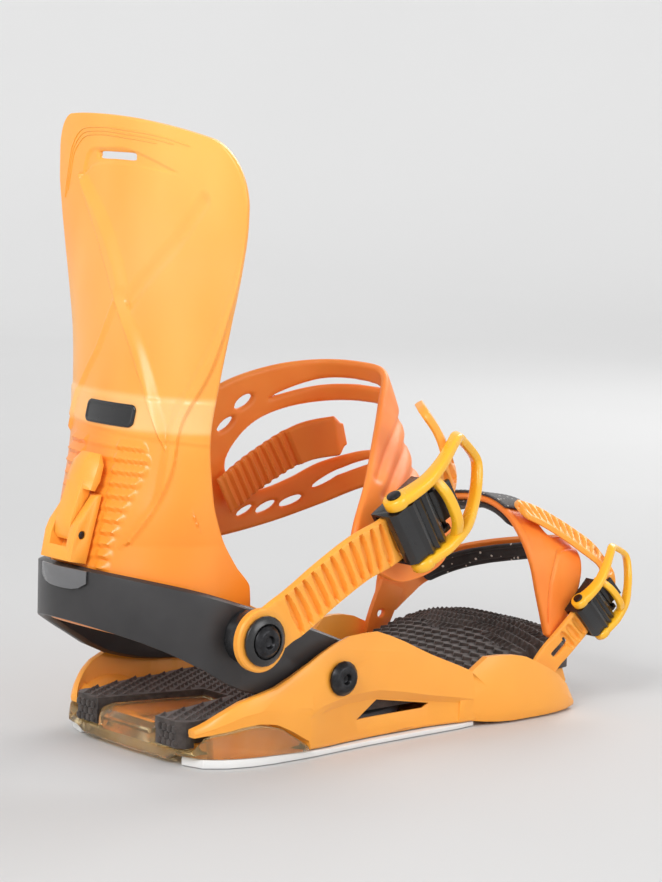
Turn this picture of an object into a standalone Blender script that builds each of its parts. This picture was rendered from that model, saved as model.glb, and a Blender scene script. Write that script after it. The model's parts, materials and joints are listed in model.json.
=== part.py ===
"""Right-foot strap-in snowboard binding.

+X points to the toe, +Y to the inner (medial) side of the foot and +Z up from the board.
The origin is the centre of the mounting disc, on the plane where the binding meets the board.
Shapes are worked out in millimetres and turned into metres as each mesh is made.
"""

import math

import bmesh
import bpy
from mathutils import Matrix, Vector

MM = 0.001
GAP = 0.4

# Base plate and side rails
FLOOR_BOTTOM = 4.6
FLOOR_TOP = 8.2
HEEL_X = -104.0
TOE_X = 133.0
RAIL_THICKNESS = 4.6
DISC_HOLE_R = 46.6

# Mounting disc
DISC_BODY_R = 46.0
DISC_FLANGE_R = 50.0
DISC_TOP = 11.6
DISC_BOLT_SPACING = 40.0
DISC_SCREW_R = 3.0
DISC_SCREW_HEAD_R = 6.0

# Heel hoop
HOOP_OUTER_Y = 54.0
HOOP_THICKNESS = 5.0
HOOP_CENTRE_X = -90.0
HOOP_REAR_X = -142.0
HOOP_FRONT_X = -8.0
SIDE_SCREW = (-27.0, 35.0)

# Ankle pivot, shared by the highback and the ankle strap
PIVOT_X = -80.0
PIVOT_Z = 59.3
BOLT_R = 3.0
BOLT_HOLE_R = 3.4
HEX_BORE_R = 3.95
LUG_R = 14.4
SPACER_R = 11.5
WASHER_R = 11.5

# Highback shell
SHELL_THICKNESS = 3.6
CUP_DEPTH = 46.0
TOP_PEAK_Y = 30.0
TOP_PEAK_Z = 289.5
TOP_FALL = 0.0022
NEAR_CORNER_R = 24.0
FAR_CORNER_R = 16.0

# Ladder straps and buckles
ANKLE_LADDER_WIDTH = 24.0
TOE_LADDER_WIDTH = 16.6
LADDER_THICKNESS = 2.6
TOOTH_HEIGHT = 1.7
TOOTH_PITCH = 5.6
ANKLE_BUCKLE_SCALE = 1.0
TOE_BUCKLE_SCALE = 0.7

# Toe strap anchor, one line through both sides of the base
ANCHOR_X = 106.0
ANCHOR_Z = 15.0

UP = Vector((0, 0, 1))
SIDE = Vector((0, 1, 0))

ORANGE = (0.93, 0.36, 0.045)
GOLD = (0.95, 0.5, 0.03)
BLACK = (0.012, 0.012, 0.013)

# name: (colour, roughness, metallic, transmission)
MATERIALS = {
    "base_orange": (ORANGE, 0.45, 0.0, 0.0),
    "highback_orange": ((0.97, 0.5, 0.12), 0.35, 0.0, 0.0),
    "strap_orange": ((0.9, 0.24, 0.03), 0.5, 0.0, 0.0),
    "ladder_orange": ((0.93, 0.36, 0.04), 0.42, 0.0, 0.0),
    "lever_gold": (GOLD, 0.3, 0.2, 0.0),
    "black_plastic": (BLACK, 0.3, 0.0, 0.0),
    "charcoal_hoop": ((0.045, 0.043, 0.045), 0.4, 0.3, 0.0),
    "badge_grey": ((0.35, 0.35, 0.36), 0.2, 0.4, 0.0),
    "black_steel": ((0.02, 0.02, 0.022), 0.25, 0.9, 0.0),
    "white_gasket": ((0.85, 0.85, 0.84), 0.5, 0.0, 0.0),
    "amber_clear": ((0.85, 0.6, 0.2), 0.1, 0.0, 0.8),
    "footbed_eva": ((0.05, 0.038, 0.034), 0.8, 0.0, 0.0),
    "liner_eva": ((0.02, 0.02, 0.022), 0.75, 0.0, 0.0),
    "disc_grey": ((0.1, 0.1, 0.11), 0.5, 0.0, 0.0),
}

PIVOTS = {
    "base": Vector((0, 0, 0)),
    "highback": Vector((PIVOT_X, 0, PIVOT_Z)),
    "ankle_strap": Vector((PIVOT_X, 0, PIVOT_Z)),
    "toe_strap": Vector((ANCHOR_X, 0, ANCHOR_Z)),
}


# ---------------------------------------------------------------- general helpers


def clear_scene():
    for obj in list(bpy.data.objects):
        bpy.data.objects.remove(obj, do_unlink=True)


def material(name):
    found = bpy.data.materials.get(name)
    if found:
        return found
    colour, roughness, metallic, transmission = MATERIALS[name]
    made = bpy.data.materials.new(name)
    made.use_nodes = True
    shader = made.node_tree.nodes["Principled BSDF"]
    shader.inputs["Base Color"].default_value = (*colour, 1)
    shader.inputs["Roughness"].default_value = roughness
    shader.inputs["Metallic"].default_value = metallic
    shader.inputs["Transmission Weight"].default_value = transmission
    made.diffuse_color = (*colour, 1)
    return made


def body_empty(body):
    """The empty that stands on a body's joint, in metres."""
    found = bpy.data.objects.get("joint_" + body)
    if found:
        return found
    made = bpy.data.objects.new("joint_" + body, None)
    made.location = PIVOTS[body] * MM
    bpy.context.scene.collection.objects.link(made)
    return made


def place(name, bm, material_name, body):
    """Turns a bmesh in millimetres into a named object with its origin on its body's joint."""
    bmesh.ops.remove_doubles(bm, verts=bm.verts, dist=0.0005)
    bmesh.ops.recalc_face_normals(bm, faces=bm.faces)
    bm.transform(Matrix.Scale(MM, 4) @ Matrix.Translation(-PIVOTS[body]))
    mesh = bpy.data.meshes.new(name)
    bm.to_mesh(mesh)
    bm.free()
    mesh.materials.append(material(material_name))
    mesh.shade_smooth()
    mesh.set_sharp_from_angle(angle=math.radians(35))
    obj = bpy.data.objects.new(name, mesh)
    obj.parent = body_empty(body)
    bpy.context.scene.collection.objects.link(obj)
    return obj


def boolean(target, tool, operation):
    """Adds a live Boolean, and keeps its tool as a hidden wire object."""
    tool.hide_render = True
    tool.display_type = "WIRE"
    modifier = target.modifiers.new(operation.lower() + "_" + tool.name, "BOOLEAN")
    modifier.operation = operation
    modifier.object = tool
    modifier.solver = "EXACT"


def cut(target, bm, body):
    boolean(target, place("cut_" + target.name, bm, "black_plastic", body), "DIFFERENCE")


def add(target, bm, body):
    boolean(target, place("add_" + target.name, bm, "black_plastic", body), "UNION")


def along(table, x):
    """Smooth value at x of a table of (x, value) pairs, with no overshoot between them."""
    if x <= table[0][0]:
        return table[0][1]
    if x >= table[-1][0]:
        return table[-1][1]
    slopes = [(b[1] - a[1]) / (b[0] - a[0]) for a, b in zip(table, table[1:])]
    tangents = [slopes[0]]
    for before, after in zip(slopes, slopes[1:]):
        level = before * after <= 0
        tangents.append(0.0 if level else 2 * before * after / (before + after))
    tangents.append(slopes[-1])
    i = max(k for k in range(len(slopes)) if table[k][0] <= x)
    span = table[i + 1][0] - table[i][0]
    t = (x - table[i][0]) / span
    value = table[i][1] * (1 + 2 * t) * (1 - t) ** 2
    value += table[i + 1][1] * t * t * (3 - 2 * t)
    value += span * tangents[i] * t * (1 - t) ** 2
    return value - span * tangents[i + 1] * t * t * (1 - t)


def spline(points, count):
    """Points spaced evenly in parameter along a Catmull-Rom curve through the given points."""
    points = [Vector(p) for p in points]
    ends = [2 * points[0] - points[1], *points, 2 * points[-1] - points[-2]]
    made = []
    for k in range(count):
        place_on = k * (len(points) - 1) / (count - 1)
        i = min(int(place_on), len(points) - 2)
        t = place_on - i
        a, b, c, d = ends[i : i + 4]
        made.append(
            0.5 * (2 * b + (c - a) * t + (2 * a - 5 * b + 4 * c - d) * t**2)
            + 0.5 * (3 * b - a - 3 * c + d) * t**3
        )
    return made


def resample(points, count):
    """The same line with count points, evenly spaced along its length."""
    lengths = [0.0]
    for a, b in zip(points, points[1:]):
        lengths.append(lengths[-1] + (b - a).length)
    made = []
    for k in range(count):
        goal = lengths[-1] * k / (count - 1)
        i = max(j for j in range(len(points) - 1) if lengths[j] <= goal + 1e-9)
        span = lengths[i + 1] - lengths[i]
        made.append(points[i].lerp(points[i + 1], (goal - lengths[i]) / span))
    return made


# ---------------------------------------------------------------- mesh builders


def loft(rings, closed=False):
    """Skins a row of rings that have the same number of points, and caps both ends."""
    bm = bmesh.new()
    rows = [[bm.verts.new(p) for p in ring] for ring in rings]
    size = len(rows[0])
    pairs = list(zip(rows, rows[1:]))
    if closed:
        pairs.append((rows[-1], rows[0]))
    for a, b in pairs:
        for k in range(size):
            n = (k + 1) % size
            bm.faces.new((a[k], a[n], b[n], b[k]))
    if not closed:
        bm.faces.new(rows[0])
        bm.faces.new(reversed(rows[-1]))
    return bm


def prism(outline, origin, u, v, low, high):
    """A flat outline in the plane of u and v, drawn out along their normal from low to high."""
    u, v, origin = Vector(u), Vector(v), Vector(origin)
    normal = u.cross(v).normalized()
    flat = [origin + u * a + v * b for a, b in outline]
    return loft([[p + normal * low for p in flat], [p + normal * high for p in flat]])


def turned(profile, origin, axis, steps=16):
    """A solid of revolution: profile holds (radius, distance along the axis)."""
    axis = Vector(axis).normalized()
    first = axis.orthogonal().normalized()
    second = axis.cross(first)
    rings = []
    for k in range(steps):
        angle = 2 * math.pi * k / steps
        out = first * math.cos(angle) + second * math.sin(angle)
        rings.append([Vector(origin) + out * r + axis * h for r, h in profile])
    bm = bmesh.new()
    rows = [[bm.verts.new(p) for p in ring] for ring in rings]
    for a, b in zip(rows, rows[1:] + rows[:1]):
        for k in range(len(profile)):
            n = (k + 1) % len(profile)
            if profile[k][0] > 0 or profile[n][0] > 0:
                bm.faces.new((a[k], a[n], b[n], b[k]))
    bmesh.ops.remove_doubles(bm, verts=bm.verts, dist=0.0005)
    return bm


def cylinder(radius, origin, axis, low, high, steps=16):
    return turned([(0, low), (radius, low), (radius, high), (0, high)], origin, axis, steps)


def merged(*parts):
    """Several bmeshes in one, for a cutter that has more than one body."""
    whole = bmesh.new()
    for part in parts:
        mesh = bpy.data.meshes.new("merge")
        part.to_mesh(mesh)
        part.free()
        whole.from_mesh(mesh)
        bpy.data.meshes.remove(mesh)
    return whole


def grid_normals(grid):
    normals = []
    for i, row in enumerate(grid):
        line = []
        for j in range(len(row)):
            du = grid[min(i + 1, len(grid) - 1)][j] - grid[max(i - 1, 0)][j]
            dv = row[min(j + 1, len(row) - 1)] - row[max(j - 1, 0)]
            line.append(du.cross(dv).normalized())
        normals.append(line)
    return normals


def sheet(grid, low, high, keep=None, normals=None):
    """A plate between two offsets of a grid surface; keep(i, j) says which cells it has."""
    normals = normals or grid_normals(grid)
    rows, columns = len(grid) - 1, len(grid[0]) - 1
    kept = {(i, j) for i in range(rows) for j in range(columns) if keep is None or keep(i, j)}
    bm = bmesh.new()
    made = {}

    def vertex(i, j, offset):
        if (i, j, offset) not in made:
            made[i, j, offset] = bm.verts.new(grid[i][j] + normals[i][j] * offset)
        return made[i, j, offset]

    for i, j in sorted(kept):
        corners = [(i, j), (i + 1, j), (i + 1, j + 1), (i, j + 1)]
        bm.faces.new([vertex(*c, high) for c in corners])
        bm.faces.new([vertex(*c, low) for c in reversed(corners)])
        neighbours = [(i, j - 1), (i + 1, j), (i, j + 1), (i - 1, j)]
        for k, cell in enumerate(neighbours):
            if cell not in kept:
                a, b = corners[k], corners[(k + 1) % 4]
                side = [vertex(*b, high), vertex(*a, high), vertex(*a, low), vertex(*b, low)]
                bm.faces.new(side)
    return bm


def strap_frames(points, widths, count):
    """Evenly spaced (point, width direction, outward normal) along a strap's centre line."""
    centre = resample(spline(points, 12 * len(points)), count)
    across = spline(widths, count)
    frames = []
    for k, point in enumerate(centre):
        ahead = centre[min(k + 1, count - 1)] - centre[max(k - 1, 0)]
        width = across[k] - ahead * (across[k].dot(ahead) / ahead.length_squared)
        width.normalize()
        frames.append((point, width, width.cross(ahead).normalized()))
    return frames


def toothed_strap(points, widths, width, first_tooth, teeth, depth=1.0):
    """A ladder strap: a flat band with a row of cross ribs on its outer face."""
    fine = spline(points, 60)
    length = sum((b - a).length for a, b in zip(fine, fine[1:]))
    count = max(12, round(length / TOOTH_PITCH) * 4 + 1)
    frames = strap_frames(points, widths, count)
    rings = []
    for k, (point, across, out) in enumerate(frames):
        from_end = min(1.0, (count - 1 - k) / 3)
        half = width / 2 * math.sqrt(1 - 0.75 * (1 - from_end) ** 2)
        in_teeth = first_tooth <= k < first_tooth + 4 * teeth
        top = depth * (LADDER_THICKNESS + (TOOTH_HEIGHT if in_teeth and k % 4 in (1, 2) else 0))
        rings.append(
            [
                point - across * half,
                point + across * half,
                point + across * (half - 1.5) + out * top,
                point - across * (half - 1.5) + out * top,
            ]
        )
    return loft(rings)


# ---------------------------------------------------------------- base

# (x, distance of the outer face from the middle line)
PLAN = (
    (-101, 46.6),
    (-96, 52),
    (-86, 57.5),
    (-70, 61.3),
    (-45, 62),
    (0, 60.2),
    (60, 60.8),
)
RAIL_TOP = (
    (-104, 14.8),
    (-99, 18.8),
    (-91, 25.2),
    (-81, 30.8),
    (-67, 34.3),
    (-46, 43.7),
    (-32, 50.3),
    (-18, 53.8),
    (-5, 53.9),
    (7, 50.3),
    (32, 39),
    (62, 26.5),
    (70, 22),
)
# Top of the clear heel cushion, on which the back of the rail stands
CUSHION_TOP = (
    (-104, 12.0),
    (-98, 14.4),
    (-90, 16.2),
    (-76, 18.6),
    (-64, 16.8),
    (-54, 11),
    (-45, 5.6),
)
GASKET_TOP = ((-70, 4.0), (-30, 2.2))
# (x, half width, top) of the cushion's centre block
HEEL_BLOCK = (
    (-105.2, 19, 12.5),
    (-103, 20.5, 16.0),
    (-98, 20, 17.4),
    (-94, 19, 17.4),
    (-75, 14, 17.4),
    (-52, 8.5, 17.4),
)
FLANGE_PLAN = ((52, 60.3), (60, 60.9), (70, 63.2), (84, 65.6), (104, 66), (120, 64.5), (133, 59.5))
FLANGE_TOP = ((52, 20), (58, 25.5), (70, 34), (88, 32.8), (97, 29.5), (118, 18.8), (128, 11), (133, 5.5))
LOBE_END_X = -45.4
SHELF_END_X = -90.0
FLANGE_BOTTOM = ((60, 2.9), (74, 1.2), (84, 0.8))
# How far the lower face of the rail steps in under the beam
LOWER_RECESS = ((-52, 0), (-20, 3.4), (30, 4.0), (50, 1.8), (62, 0.2))


def plan_points(offset, table=PLAN, step=11.0):
    """Outer line of one side at a given inward offset, from the heel forwards."""
    first, last = table[0][0], table[-1][0]
    count = max(2, round((last - first) / step))
    fine = [first + (last - first) * (k / count) for k in range(count + 1)]
    if table is PLAN:
        heel = [first + ahead for ahead in (0, 2.5, 5, 9, 13)]
        fine = heel + [x for x in fine if x > first + 17]
    return [(x, along(table, x) - offset) for x in fine]


def rail_ring(x, side):
    """Cross-section of a side rail, which steps over the clear cushion at the heel."""
    outer = along(PLAN, x)
    top = along(RAIL_TOP, x)
    on_cushion = x < LOBE_END_X
    bottom = (along(CUSHION_TOP, x) if on_cushion else along(GASKET_TOP, x)) + GAP
    recess = along(LOWER_RECESS, x)
    height = top - bottom
    step, inner, shelf, low = recess + 1.2, 13.0, FLOOR_TOP - 0.5, FLOOR_BOTTOM - 0.5
    if on_cushion:
        step, inner, shelf = 9.8, 14.0, bottom + 1.2
    if x < SHELF_END_X:
        step = 3.2 + 6.6 * max(0.0, (x + 98) / 8)
        inner, shelf, low = step + 1.2, bottom + 0.3 * height, bottom
    section = [
        (recess, bottom + 0.04 * height),
        (recess, bottom + 0.36 * height),
        (min(recess, -0.4), bottom + 0.46 * height),
        (0.4, bottom + 0.8 * height),
        (1.1, bottom + 0.96 * height),
        (1.9, top),
        (RAIL_THICKNESS, top - 0.02 * height),
        (RAIL_THICKNESS + 0.3, shelf + (0.5 if not on_cushion else 0.1 * height)),
        (inner, shelf),
        (inner, low),
        (step, low),
        (step - 0.5, bottom + (0 if on_cushion else 0.3)),
    ]
    return [Vector((x, side * (outer - inward), z)) for inward, z in section]


def flange_ring(x, side):
    """Cross-section of the raised cheek beside the toes."""
    outer = along(FLANGE_PLAN, x)
    top = along(FLANGE_TOP, x)
    low = along(FLANGE_BOTTOM, x)
    ring = []
    for inward, share in ((1.4, 0), (0.2, 0.2), (0, 0.55), (1.4, 1), (4.6, 1), (4.9, 0)):
        ring.append(Vector((x, side * (outer - inward), low + (top - low) * share)))
    return ring


def floor_outline(half_width_in):
    near = [(x, -y) for x, y in plan_points(half_width_in) if x > -88]
    near.insert(0, (-92, -36))
    toe = [(90, -56), (TOE_X - 21, -54)]
    line = near + toe
    return line + [(x, -y) for x, y in reversed(line)]


def build_base():
    frame = place(
        "base_frame",
        prism(floor_outline(10.5), (0, 0, 0), (1, 0, 0), (0, 1, 0), FLOOR_BOTTOM, FLOOR_TOP),
        "base_orange",
        "base",
    )
    for side in (-1, 1):
        stations = [x for x, _ in plan_points(0, step=9.0) if abs(x - LOBE_END_X) > 3]
        ends = [LOBE_END_X - 0.2, LOBE_END_X + 0.8, SHELF_END_X - 0.4, SHELF_END_X + 0.4]
        stations = sorted([*stations, *ends, 66])
        add(frame, loft([rail_ring(x, side) for x in stations]), "base")
        cheek = [52 + 8.1 * k for k in range(11)]
        add(frame, loft([flange_ring(x, side) for x in cheek]), "base")
        bridge = [(67.3, 50.4), (124, 48), (118, 59), (69, 59)]
        bridge = [(x, side * y) for x, y in bridge]
        if side > 0:
            bridge.reverse()
        add(frame, prism(bridge, (0, 0, 0), (1, 0, 0), (0, 1, 0), 2.6, 6.0), "base")
    cut(frame, cylinder(DISC_HOLE_R + 0.2, (0, 0, 0), UP, 0, 20, 36), "base")
    # Triangular windows through both rails, below the beam
    window = [(-13, 12.6), (0, 20.6), (34, 14.6), (30, 12.6)]
    cut(frame, prism(window, (0, 0, 0), (1, 0, 0), (0, 0, 1), 45, 80), "base")
    cut(frame, prism(window, (0, 0, 0), (1, 0, 0), (0, 0, 1), -80, -45), "base")
    x, z = SIDE_SCREW
    cut(frame, cylinder(BOLT_HOLE_R, (x, 0, z), SIDE, -80, 80, 16), "base")
    cut(frame, cylinder(2.2, (ANCHOR_X, 0, ANCHOR_Z), SIDE, -63.6, 63.6, 16), "base")


def build_gasket():
    """White rim that seals the base against the board, open at the very back."""
    side = [(x, -y) for x, y in plan_points(1.0) if x > -100]
    side = [(-101.5, -38), (-99.5, -46.5), *side[1:], (64, -57.5), (69, -50), (71, -38), (72, -14)]
    near = resample(spline([(x, y, 0) for x, y in side], 160), 20)
    line = near + [Vector((p.x, -p.y, 0)) for p in reversed(near)]
    rings = []
    for k, point in enumerate(line):
        ahead = line[min(k + 1, len(line) - 1)] - line[max(k - 1, 0)]
        inward = UP.cross(ahead).normalized() * 8
        top = UP * along(GASKET_TOP, point.x)
        rings.append([point, point + top, point + top + inward, point + inward])
    place("base_gasket", loft(rings), "white_gasket", "base")


def build_disc():
    profile = [
        (0, 0),
        (DISC_BODY_R, 0),
        (DISC_BODY_R, FLOOR_TOP + GAP),
        (DISC_FLANGE_R, FLOOR_TOP + GAP),
        (DISC_FLANGE_R - 2, DISC_TOP),
        (0, DISC_TOP),
    ]
    disc = place("mounting_disc", turned(profile, (0, 0, 0), UP, 36), "disc_grey", "base")
    half = DISC_BOLT_SPACING / 2
    holes = []
    number = 0
    for x in (-half, half):
        for y in (-half, half):
            number += 1
            hole = [
                (0, -1),
                (DISC_SCREW_R + 0.4, -1),
                (DISC_SCREW_R + 0.4, 6.4),
                (DISC_SCREW_HEAD_R + 0.6, DISC_TOP - 1.4),
                (DISC_SCREW_HEAD_R + 0.6, DISC_TOP + 1),
                (0, DISC_TOP + 1),
            ]
            holes.append(turned(hole, (x, y, 0), UP, 12))
            screw = [
                (0, 0.4),
                (DISC_SCREW_R, 0.4),
                (DISC_SCREW_R, 6.8),
                (DISC_SCREW_HEAD_R, DISC_TOP - 1.4),
                (DISC_SCREW_HEAD_R, DISC_TOP - 0.6),
                (2.6, DISC_TOP - 0.6),
                (2.0, DISC_TOP - 3.2),
                (0, DISC_TOP - 3.2),
            ]
            bm = turned(screw, (x, y, 0), UP, 12)
            place(f"disc_screw_{number}", bm, "black_steel", "base")
    cut(disc, merged(*holes), "base")


def build_heel_cushion():
    """Clear cushion: a back wall that runs on into a lobe under each rail, and a centre block."""
    lobe = [(x, -along(PLAN, x) - 1.4) for x in (-47, -55, -64, -74, -84, -93)]
    line = [*lobe, (-101, -48.5), (-104.6, -40), (-106, -27), (-106.8, -9)]
    line += [(x, -y) for x, y in reversed(line)]
    path = resample(spline([(x, y, 0) for x, y in line], 160), 43)
    rings = []
    for k, point in enumerate(path):
        ahead = path[min(k + 1, 42)] - path[max(k - 1, 0)]
        inward = ahead.cross(UP).normalized()
        reach = abs(point.y)
        low = 1.4 if reach < 32 else along(GASKET_TOP, point.x) + GAP
        top = along(CUSHION_TOP, point.x) - 0.5
        if point.x < -99:
            top = along(((46, 7.2), (49.5, 12.6)), reach)
        section = [
            (2.0, low),
            (0, low + 0.3 * (top - low)),
            (0.8, top - 0.8),
            (1.8, top),
            (6.6, top),
            (6.6, low),
        ]
        rings.append([point + inward * a + UP * z for a, z in section])
    cushion = place("heel_air_cushion", loft(rings), "amber_clear", "base")
    rings = []
    for x, half, top in HEEL_BLOCK:
        section = [
            (-half, 0),
            (-half, top - 1.5),
            (1.5 - half, top),
            (half - 1.5, top),
            (half, top - 1.5),
            (half, 0),
        ]
        low = 5.0 if x < -95 else FLOOR_TOP + GAP
        rings.append([Vector((x, y, z or low)) for y, z in section])
    add(cushion, loft(rings), "base")


def build_pads():
    """Textured foam pads under the foot."""
    heel = [(-104, -37), (-101, -40.3), (-97, -41.3), (-89.5, -40)]
    heel += [(-80, -43.5), (-66, -46.5), (-46, -47)]
    outline = heel + [(-38, -50), (0, -51.5), (58, -51)]
    outline += [(x, -y) for x, y in reversed(outline)]
    outline += [(-104, 21.5), (-51, 9.4), (-51, -9.4), (-104, -21.5)]
    pad = prism(outline, (0, 0, 0), (1, 0, 0), (0, 1, 0), 14.5, 20.0)
    pad = place("heel_pad", pad, "footbed_eva", "base")
    prong = [(-104, -22), (-97, -23), (-97, -41.3), (-101, -40.3), (-104, -37)]
    foot = [(-97.5, -23), (-86, -21), (-86, -38), (-97.5, -38)]
    for side in (-1, 1):
        lower = prism([(x, side * y) for x, y in prong], (0, 0, 0), (1, 0, 0), (0, 1, 0), 7.7, 17.0)
        add(pad, lower, "base")
        lower = prism([(x, side * y) for x, y in foot], (0, 0, 0), (1, 0, 0), (0, 1, 0), 9.0, 16.0)
        add(pad, lower, "base")

    ramp = [(64, 9.0), (64, 14.0), (108, 18), (142, 16.5), (145, 9.5), (143, 6.6)]
    ramp += [(112.6, 6.6), (112.6, 9)]
    bm = prism(ramp, (0, 0, 0), (1, 0, 0), (0, 0, 1), -43, 43)
    place("toe_ramp", bm, "base_orange", "base")
    grid = []
    for k in range(9):
        x = 62 + 86 * k / 8
        centre = along(((62, 23), (90, 30), (112, 35), (132, 37.5), (148, 34)), x)
        half = along(((62, 49), (100, 49.5), (130, 48), (142, 45), (148, 40)), x)
        across = (-1, -0.75, -0.4, 0, 0.4, 0.75, 1)
        grid.append([(x, half * t, centre - 5.5 * abs(t) ** 3) for t in across])
    rings = []
    for row in grid:
        x = row[0][0]
        under = along(((62, 14.6), (108, 18.6), (142, 17.2), (148, 16.4)), x)
        top = [Vector(p) for p in row]
        rings.append(top + [Vector((x, row[-1][1], under)), Vector((x, row[0][1], under))])
    place("toe_footbed", loft(rings), "footbed_eva", "base")


# ---------------------------------------------------------------- heel hoop

HOOP_TOP = ((-142, 90.6), (-122, 86), (-103, 81), (-80, 73.3), (-44, 60.5), (-8, 46))
HOOP_BOTTOM = ((-142, 65.4), (-122, 57), (-103, 47), (-79, 33.6), (-50, 27), (-8, 24))


def hoop_line(offset, count=33):
    """Plan of the hoop at an outward offset: two straight arms joined by a half ellipse."""
    arm = HOOP_OUTER_Y - HOOP_THICKNESS / 2 + offset
    back = HOOP_CENTRE_X - HOOP_REAR_X - HOOP_THICKNESS / 2 + offset
    line = [Vector((HOOP_FRONT_X, -arm, 0)), Vector((HOOP_FRONT_X - 30, -arm, 0))]
    for k in range(25):
        angle = math.pi * (k / 24 - 0.5)
        x = HOOP_CENTRE_X - back * math.cos(angle)
        line.append(Vector((x, arm * math.sin(angle), 0)))
    line += [Vector((HOOP_FRONT_X - 30, arm, 0)), Vector((HOOP_FRONT_X, arm, 0))]
    return resample(line, count)


def build_hoop():
    half = HOOP_THICKNESS / 2
    rings = []
    for out, mid, inner in zip(hoop_line(half), hoop_line(0), hoop_line(-half)):
        top, bottom = along(HOOP_TOP, mid.x), along(HOOP_BOTTOM, mid.x)
        rings.append(
            [
                out + UP * (bottom + 1),
                out + UP * (top - 1),
                mid + UP * top,
                inner + UP * (top - 1),
                inner + UP * (bottom + 1),
                mid + UP * bottom,
            ]
        )
    hoop = place("heel_hoop", loft(rings), "charcoal_hoop", "base")
    holes = [
        cylinder(BOLT_HOLE_R, (PIVOT_X, 0, PIVOT_Z), SIDE, -80, -40, 16),
        cylinder(BOLT_HOLE_R, (PIVOT_X, 0, PIVOT_Z), SIDE, 40, 80, 16),
        cylinder(BOLT_HOLE_R, (SIDE_SCREW[0], 0, SIDE_SCREW[1]), SIDE, -80, -40, 16),
        cylinder(BOLT_HOLE_R, (SIDE_SCREW[0], 0, SIDE_SCREW[1]), SIDE, 40, 80, 16),
    ]
    cut(hoop, merged(*holes), "base")

    badge = [p for p in hoop_line(half + 0.8, 161) if abs(p.y) < 17.5 and p.x < -100]
    badge = resample(badge, 9)
    grid = []
    for p in badge:
        low = 79.5 + 4.5 * (abs(p.y) / 17.5) ** 4
        high = along(HOOP_TOP, p.x) - 1.6
        grid.append([p + UP * low, p + UP * high])
    place("hoop_badge", sheet(grid, -0.45, 0.45), "badge_grey", "base")


def screw_profile(head_r, head, shank, recess_r, recess):
    """A pan head with a driver recess: the head rises along +axis, and the shank runs back."""
    return [
        (0, -shank),
        (BOLT_R, -shank),
        (BOLT_R, 0),
        (head_r, 0),
        (head_r, head * 0.35),
        (head_r * 0.72, head),
        (recess_r, head),
        (recess_r * 0.8, head - recess),
        (0, head - recess),
    ]


def build_side_fasteners():
    x, z = SIDE_SCREW
    for side, tag in ((-1, "near"), (1, "far")):
        out = SIDE * side
        head = (x, side * 62.3, z)
        bm = turned(screw_profile(8.2, 3.4, 17.2, 2.6, 2.4), head, out)
        place(f"hoop_screw_{tag}", bm, "black_steel", "base")
        ring = [(HEX_BORE_R, -3.2), (7, -3.2), (7, 0), (HEX_BORE_R, 0)]
        nut = turned(ring, (x, side * (HOOP_OUTER_Y - HOOP_THICKNESS - GAP), z), out, 6)
        place(f"hoop_nut_{tag}", nut, "black_steel", "base")

        spacer = [
            (BOLT_HOLE_R, 0),
            (SPACER_R + 0.6, 0),
            (SPACER_R, 2),
            (SPACER_R - 1, 8.2),
            (BOLT_HOLE_R, 8.2),
        ]
        pivot = (PIVOT_X, side * (HOOP_OUTER_Y + GAP), PIVOT_Z)
        place(f"ankle_spacer_{tag}", turned(spacer, pivot, out), "black_plastic", "base")
        washer_at = (PIVOT_X, side * 67.6, PIVOT_Z)
        ring = [(BOLT_HOLE_R, 0), (WASHER_R, 0), (WASHER_R, 1.4)]
        ring += [(8.2, 3.0), (7.9, 1.6), (BOLT_HOLE_R, 1.6)]
        place(f"ankle_washer_{tag}", turned(ring, washer_at, out, 20), "black_plastic", "base")
        bolt_at = (PIVOT_X, side * 69.5, PIVOT_Z)
        bm = turned(screw_profile(7.4, 2.6, 27.5, 3.0, 2.0), bolt_at, out)
        place(f"ankle_bolt_{tag}", bm, "black_steel", "base")
        ring = [(HEX_BORE_R, 0), (7.5, 0), (7.5, 3.2), (HEX_BORE_R, 3.2)]
        nut_at = (PIVOT_X, side * (HOOP_OUTER_Y - HOOP_THICKNESS - 9.2), PIVOT_Z)
        place(f"ankle_nut_{tag}", turned(ring, nut_at, out, 6), "black_steel", "base")

        pin = [(0, -2.0), (4.0, -2.0), (4.0, -0.6), (2.0, -0.6), (2.0, 8.2), (0, 8.2)]
        bm = turned(pin, (ANCHOR_X, side * 55.0, ANCHOR_Z), out)
        place(f"toe_anchor_pin_{tag}", bm, "black_steel", "base")


# ---------------------------------------------------------------- highback

SPINE_X = (
    (45, -136.2),
    (84, -136.2),
    (96, -133.9),
    (165, -115.1),
    (210, -108.6),
    (262, -105),
    (292, -104),
)
NEAR_EDGE_X = (
    (45, -70),
    (79, -71.5),
    (90, -80),
    (104, -88.7),
    (120, -93.6),
    (147, -96),
    (174, -95.4),
    (200, -94),
    (230, -92.6),
    (292, -92.6),
)
FAR_EDGE_X = (
    (45, -70),
    (79, -71.5),
    (90, -80),
    (104, -88.7),
    (120, -93.6),
    (147, -97),
    (163, -98),
    (292, -98.4),
)
NEAR_WIDTH = (
    (45, 47.4),
    (75, 48.3),
    (104, 48.3),
    (147, 47),
    (174, 51.5),
    (200, 56.5),
    (222, 61),
    (245, 64),
    (292, 64.5),
)
FAR_WIDTH = (
    (45, 47.4),
    (75, 48.3),
    (104, 48.3),
    (132, 50),
    (163, 52.6),
    (189, 54.4),
    (207, 57.4),
    (229, 61.8),
    (246, 65),
    (262, 67),
    (292, 67),
)
WRAP_DEG = ((45, 90), (104, 90), (135, 75), (170, 64), (292, 55))


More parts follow.
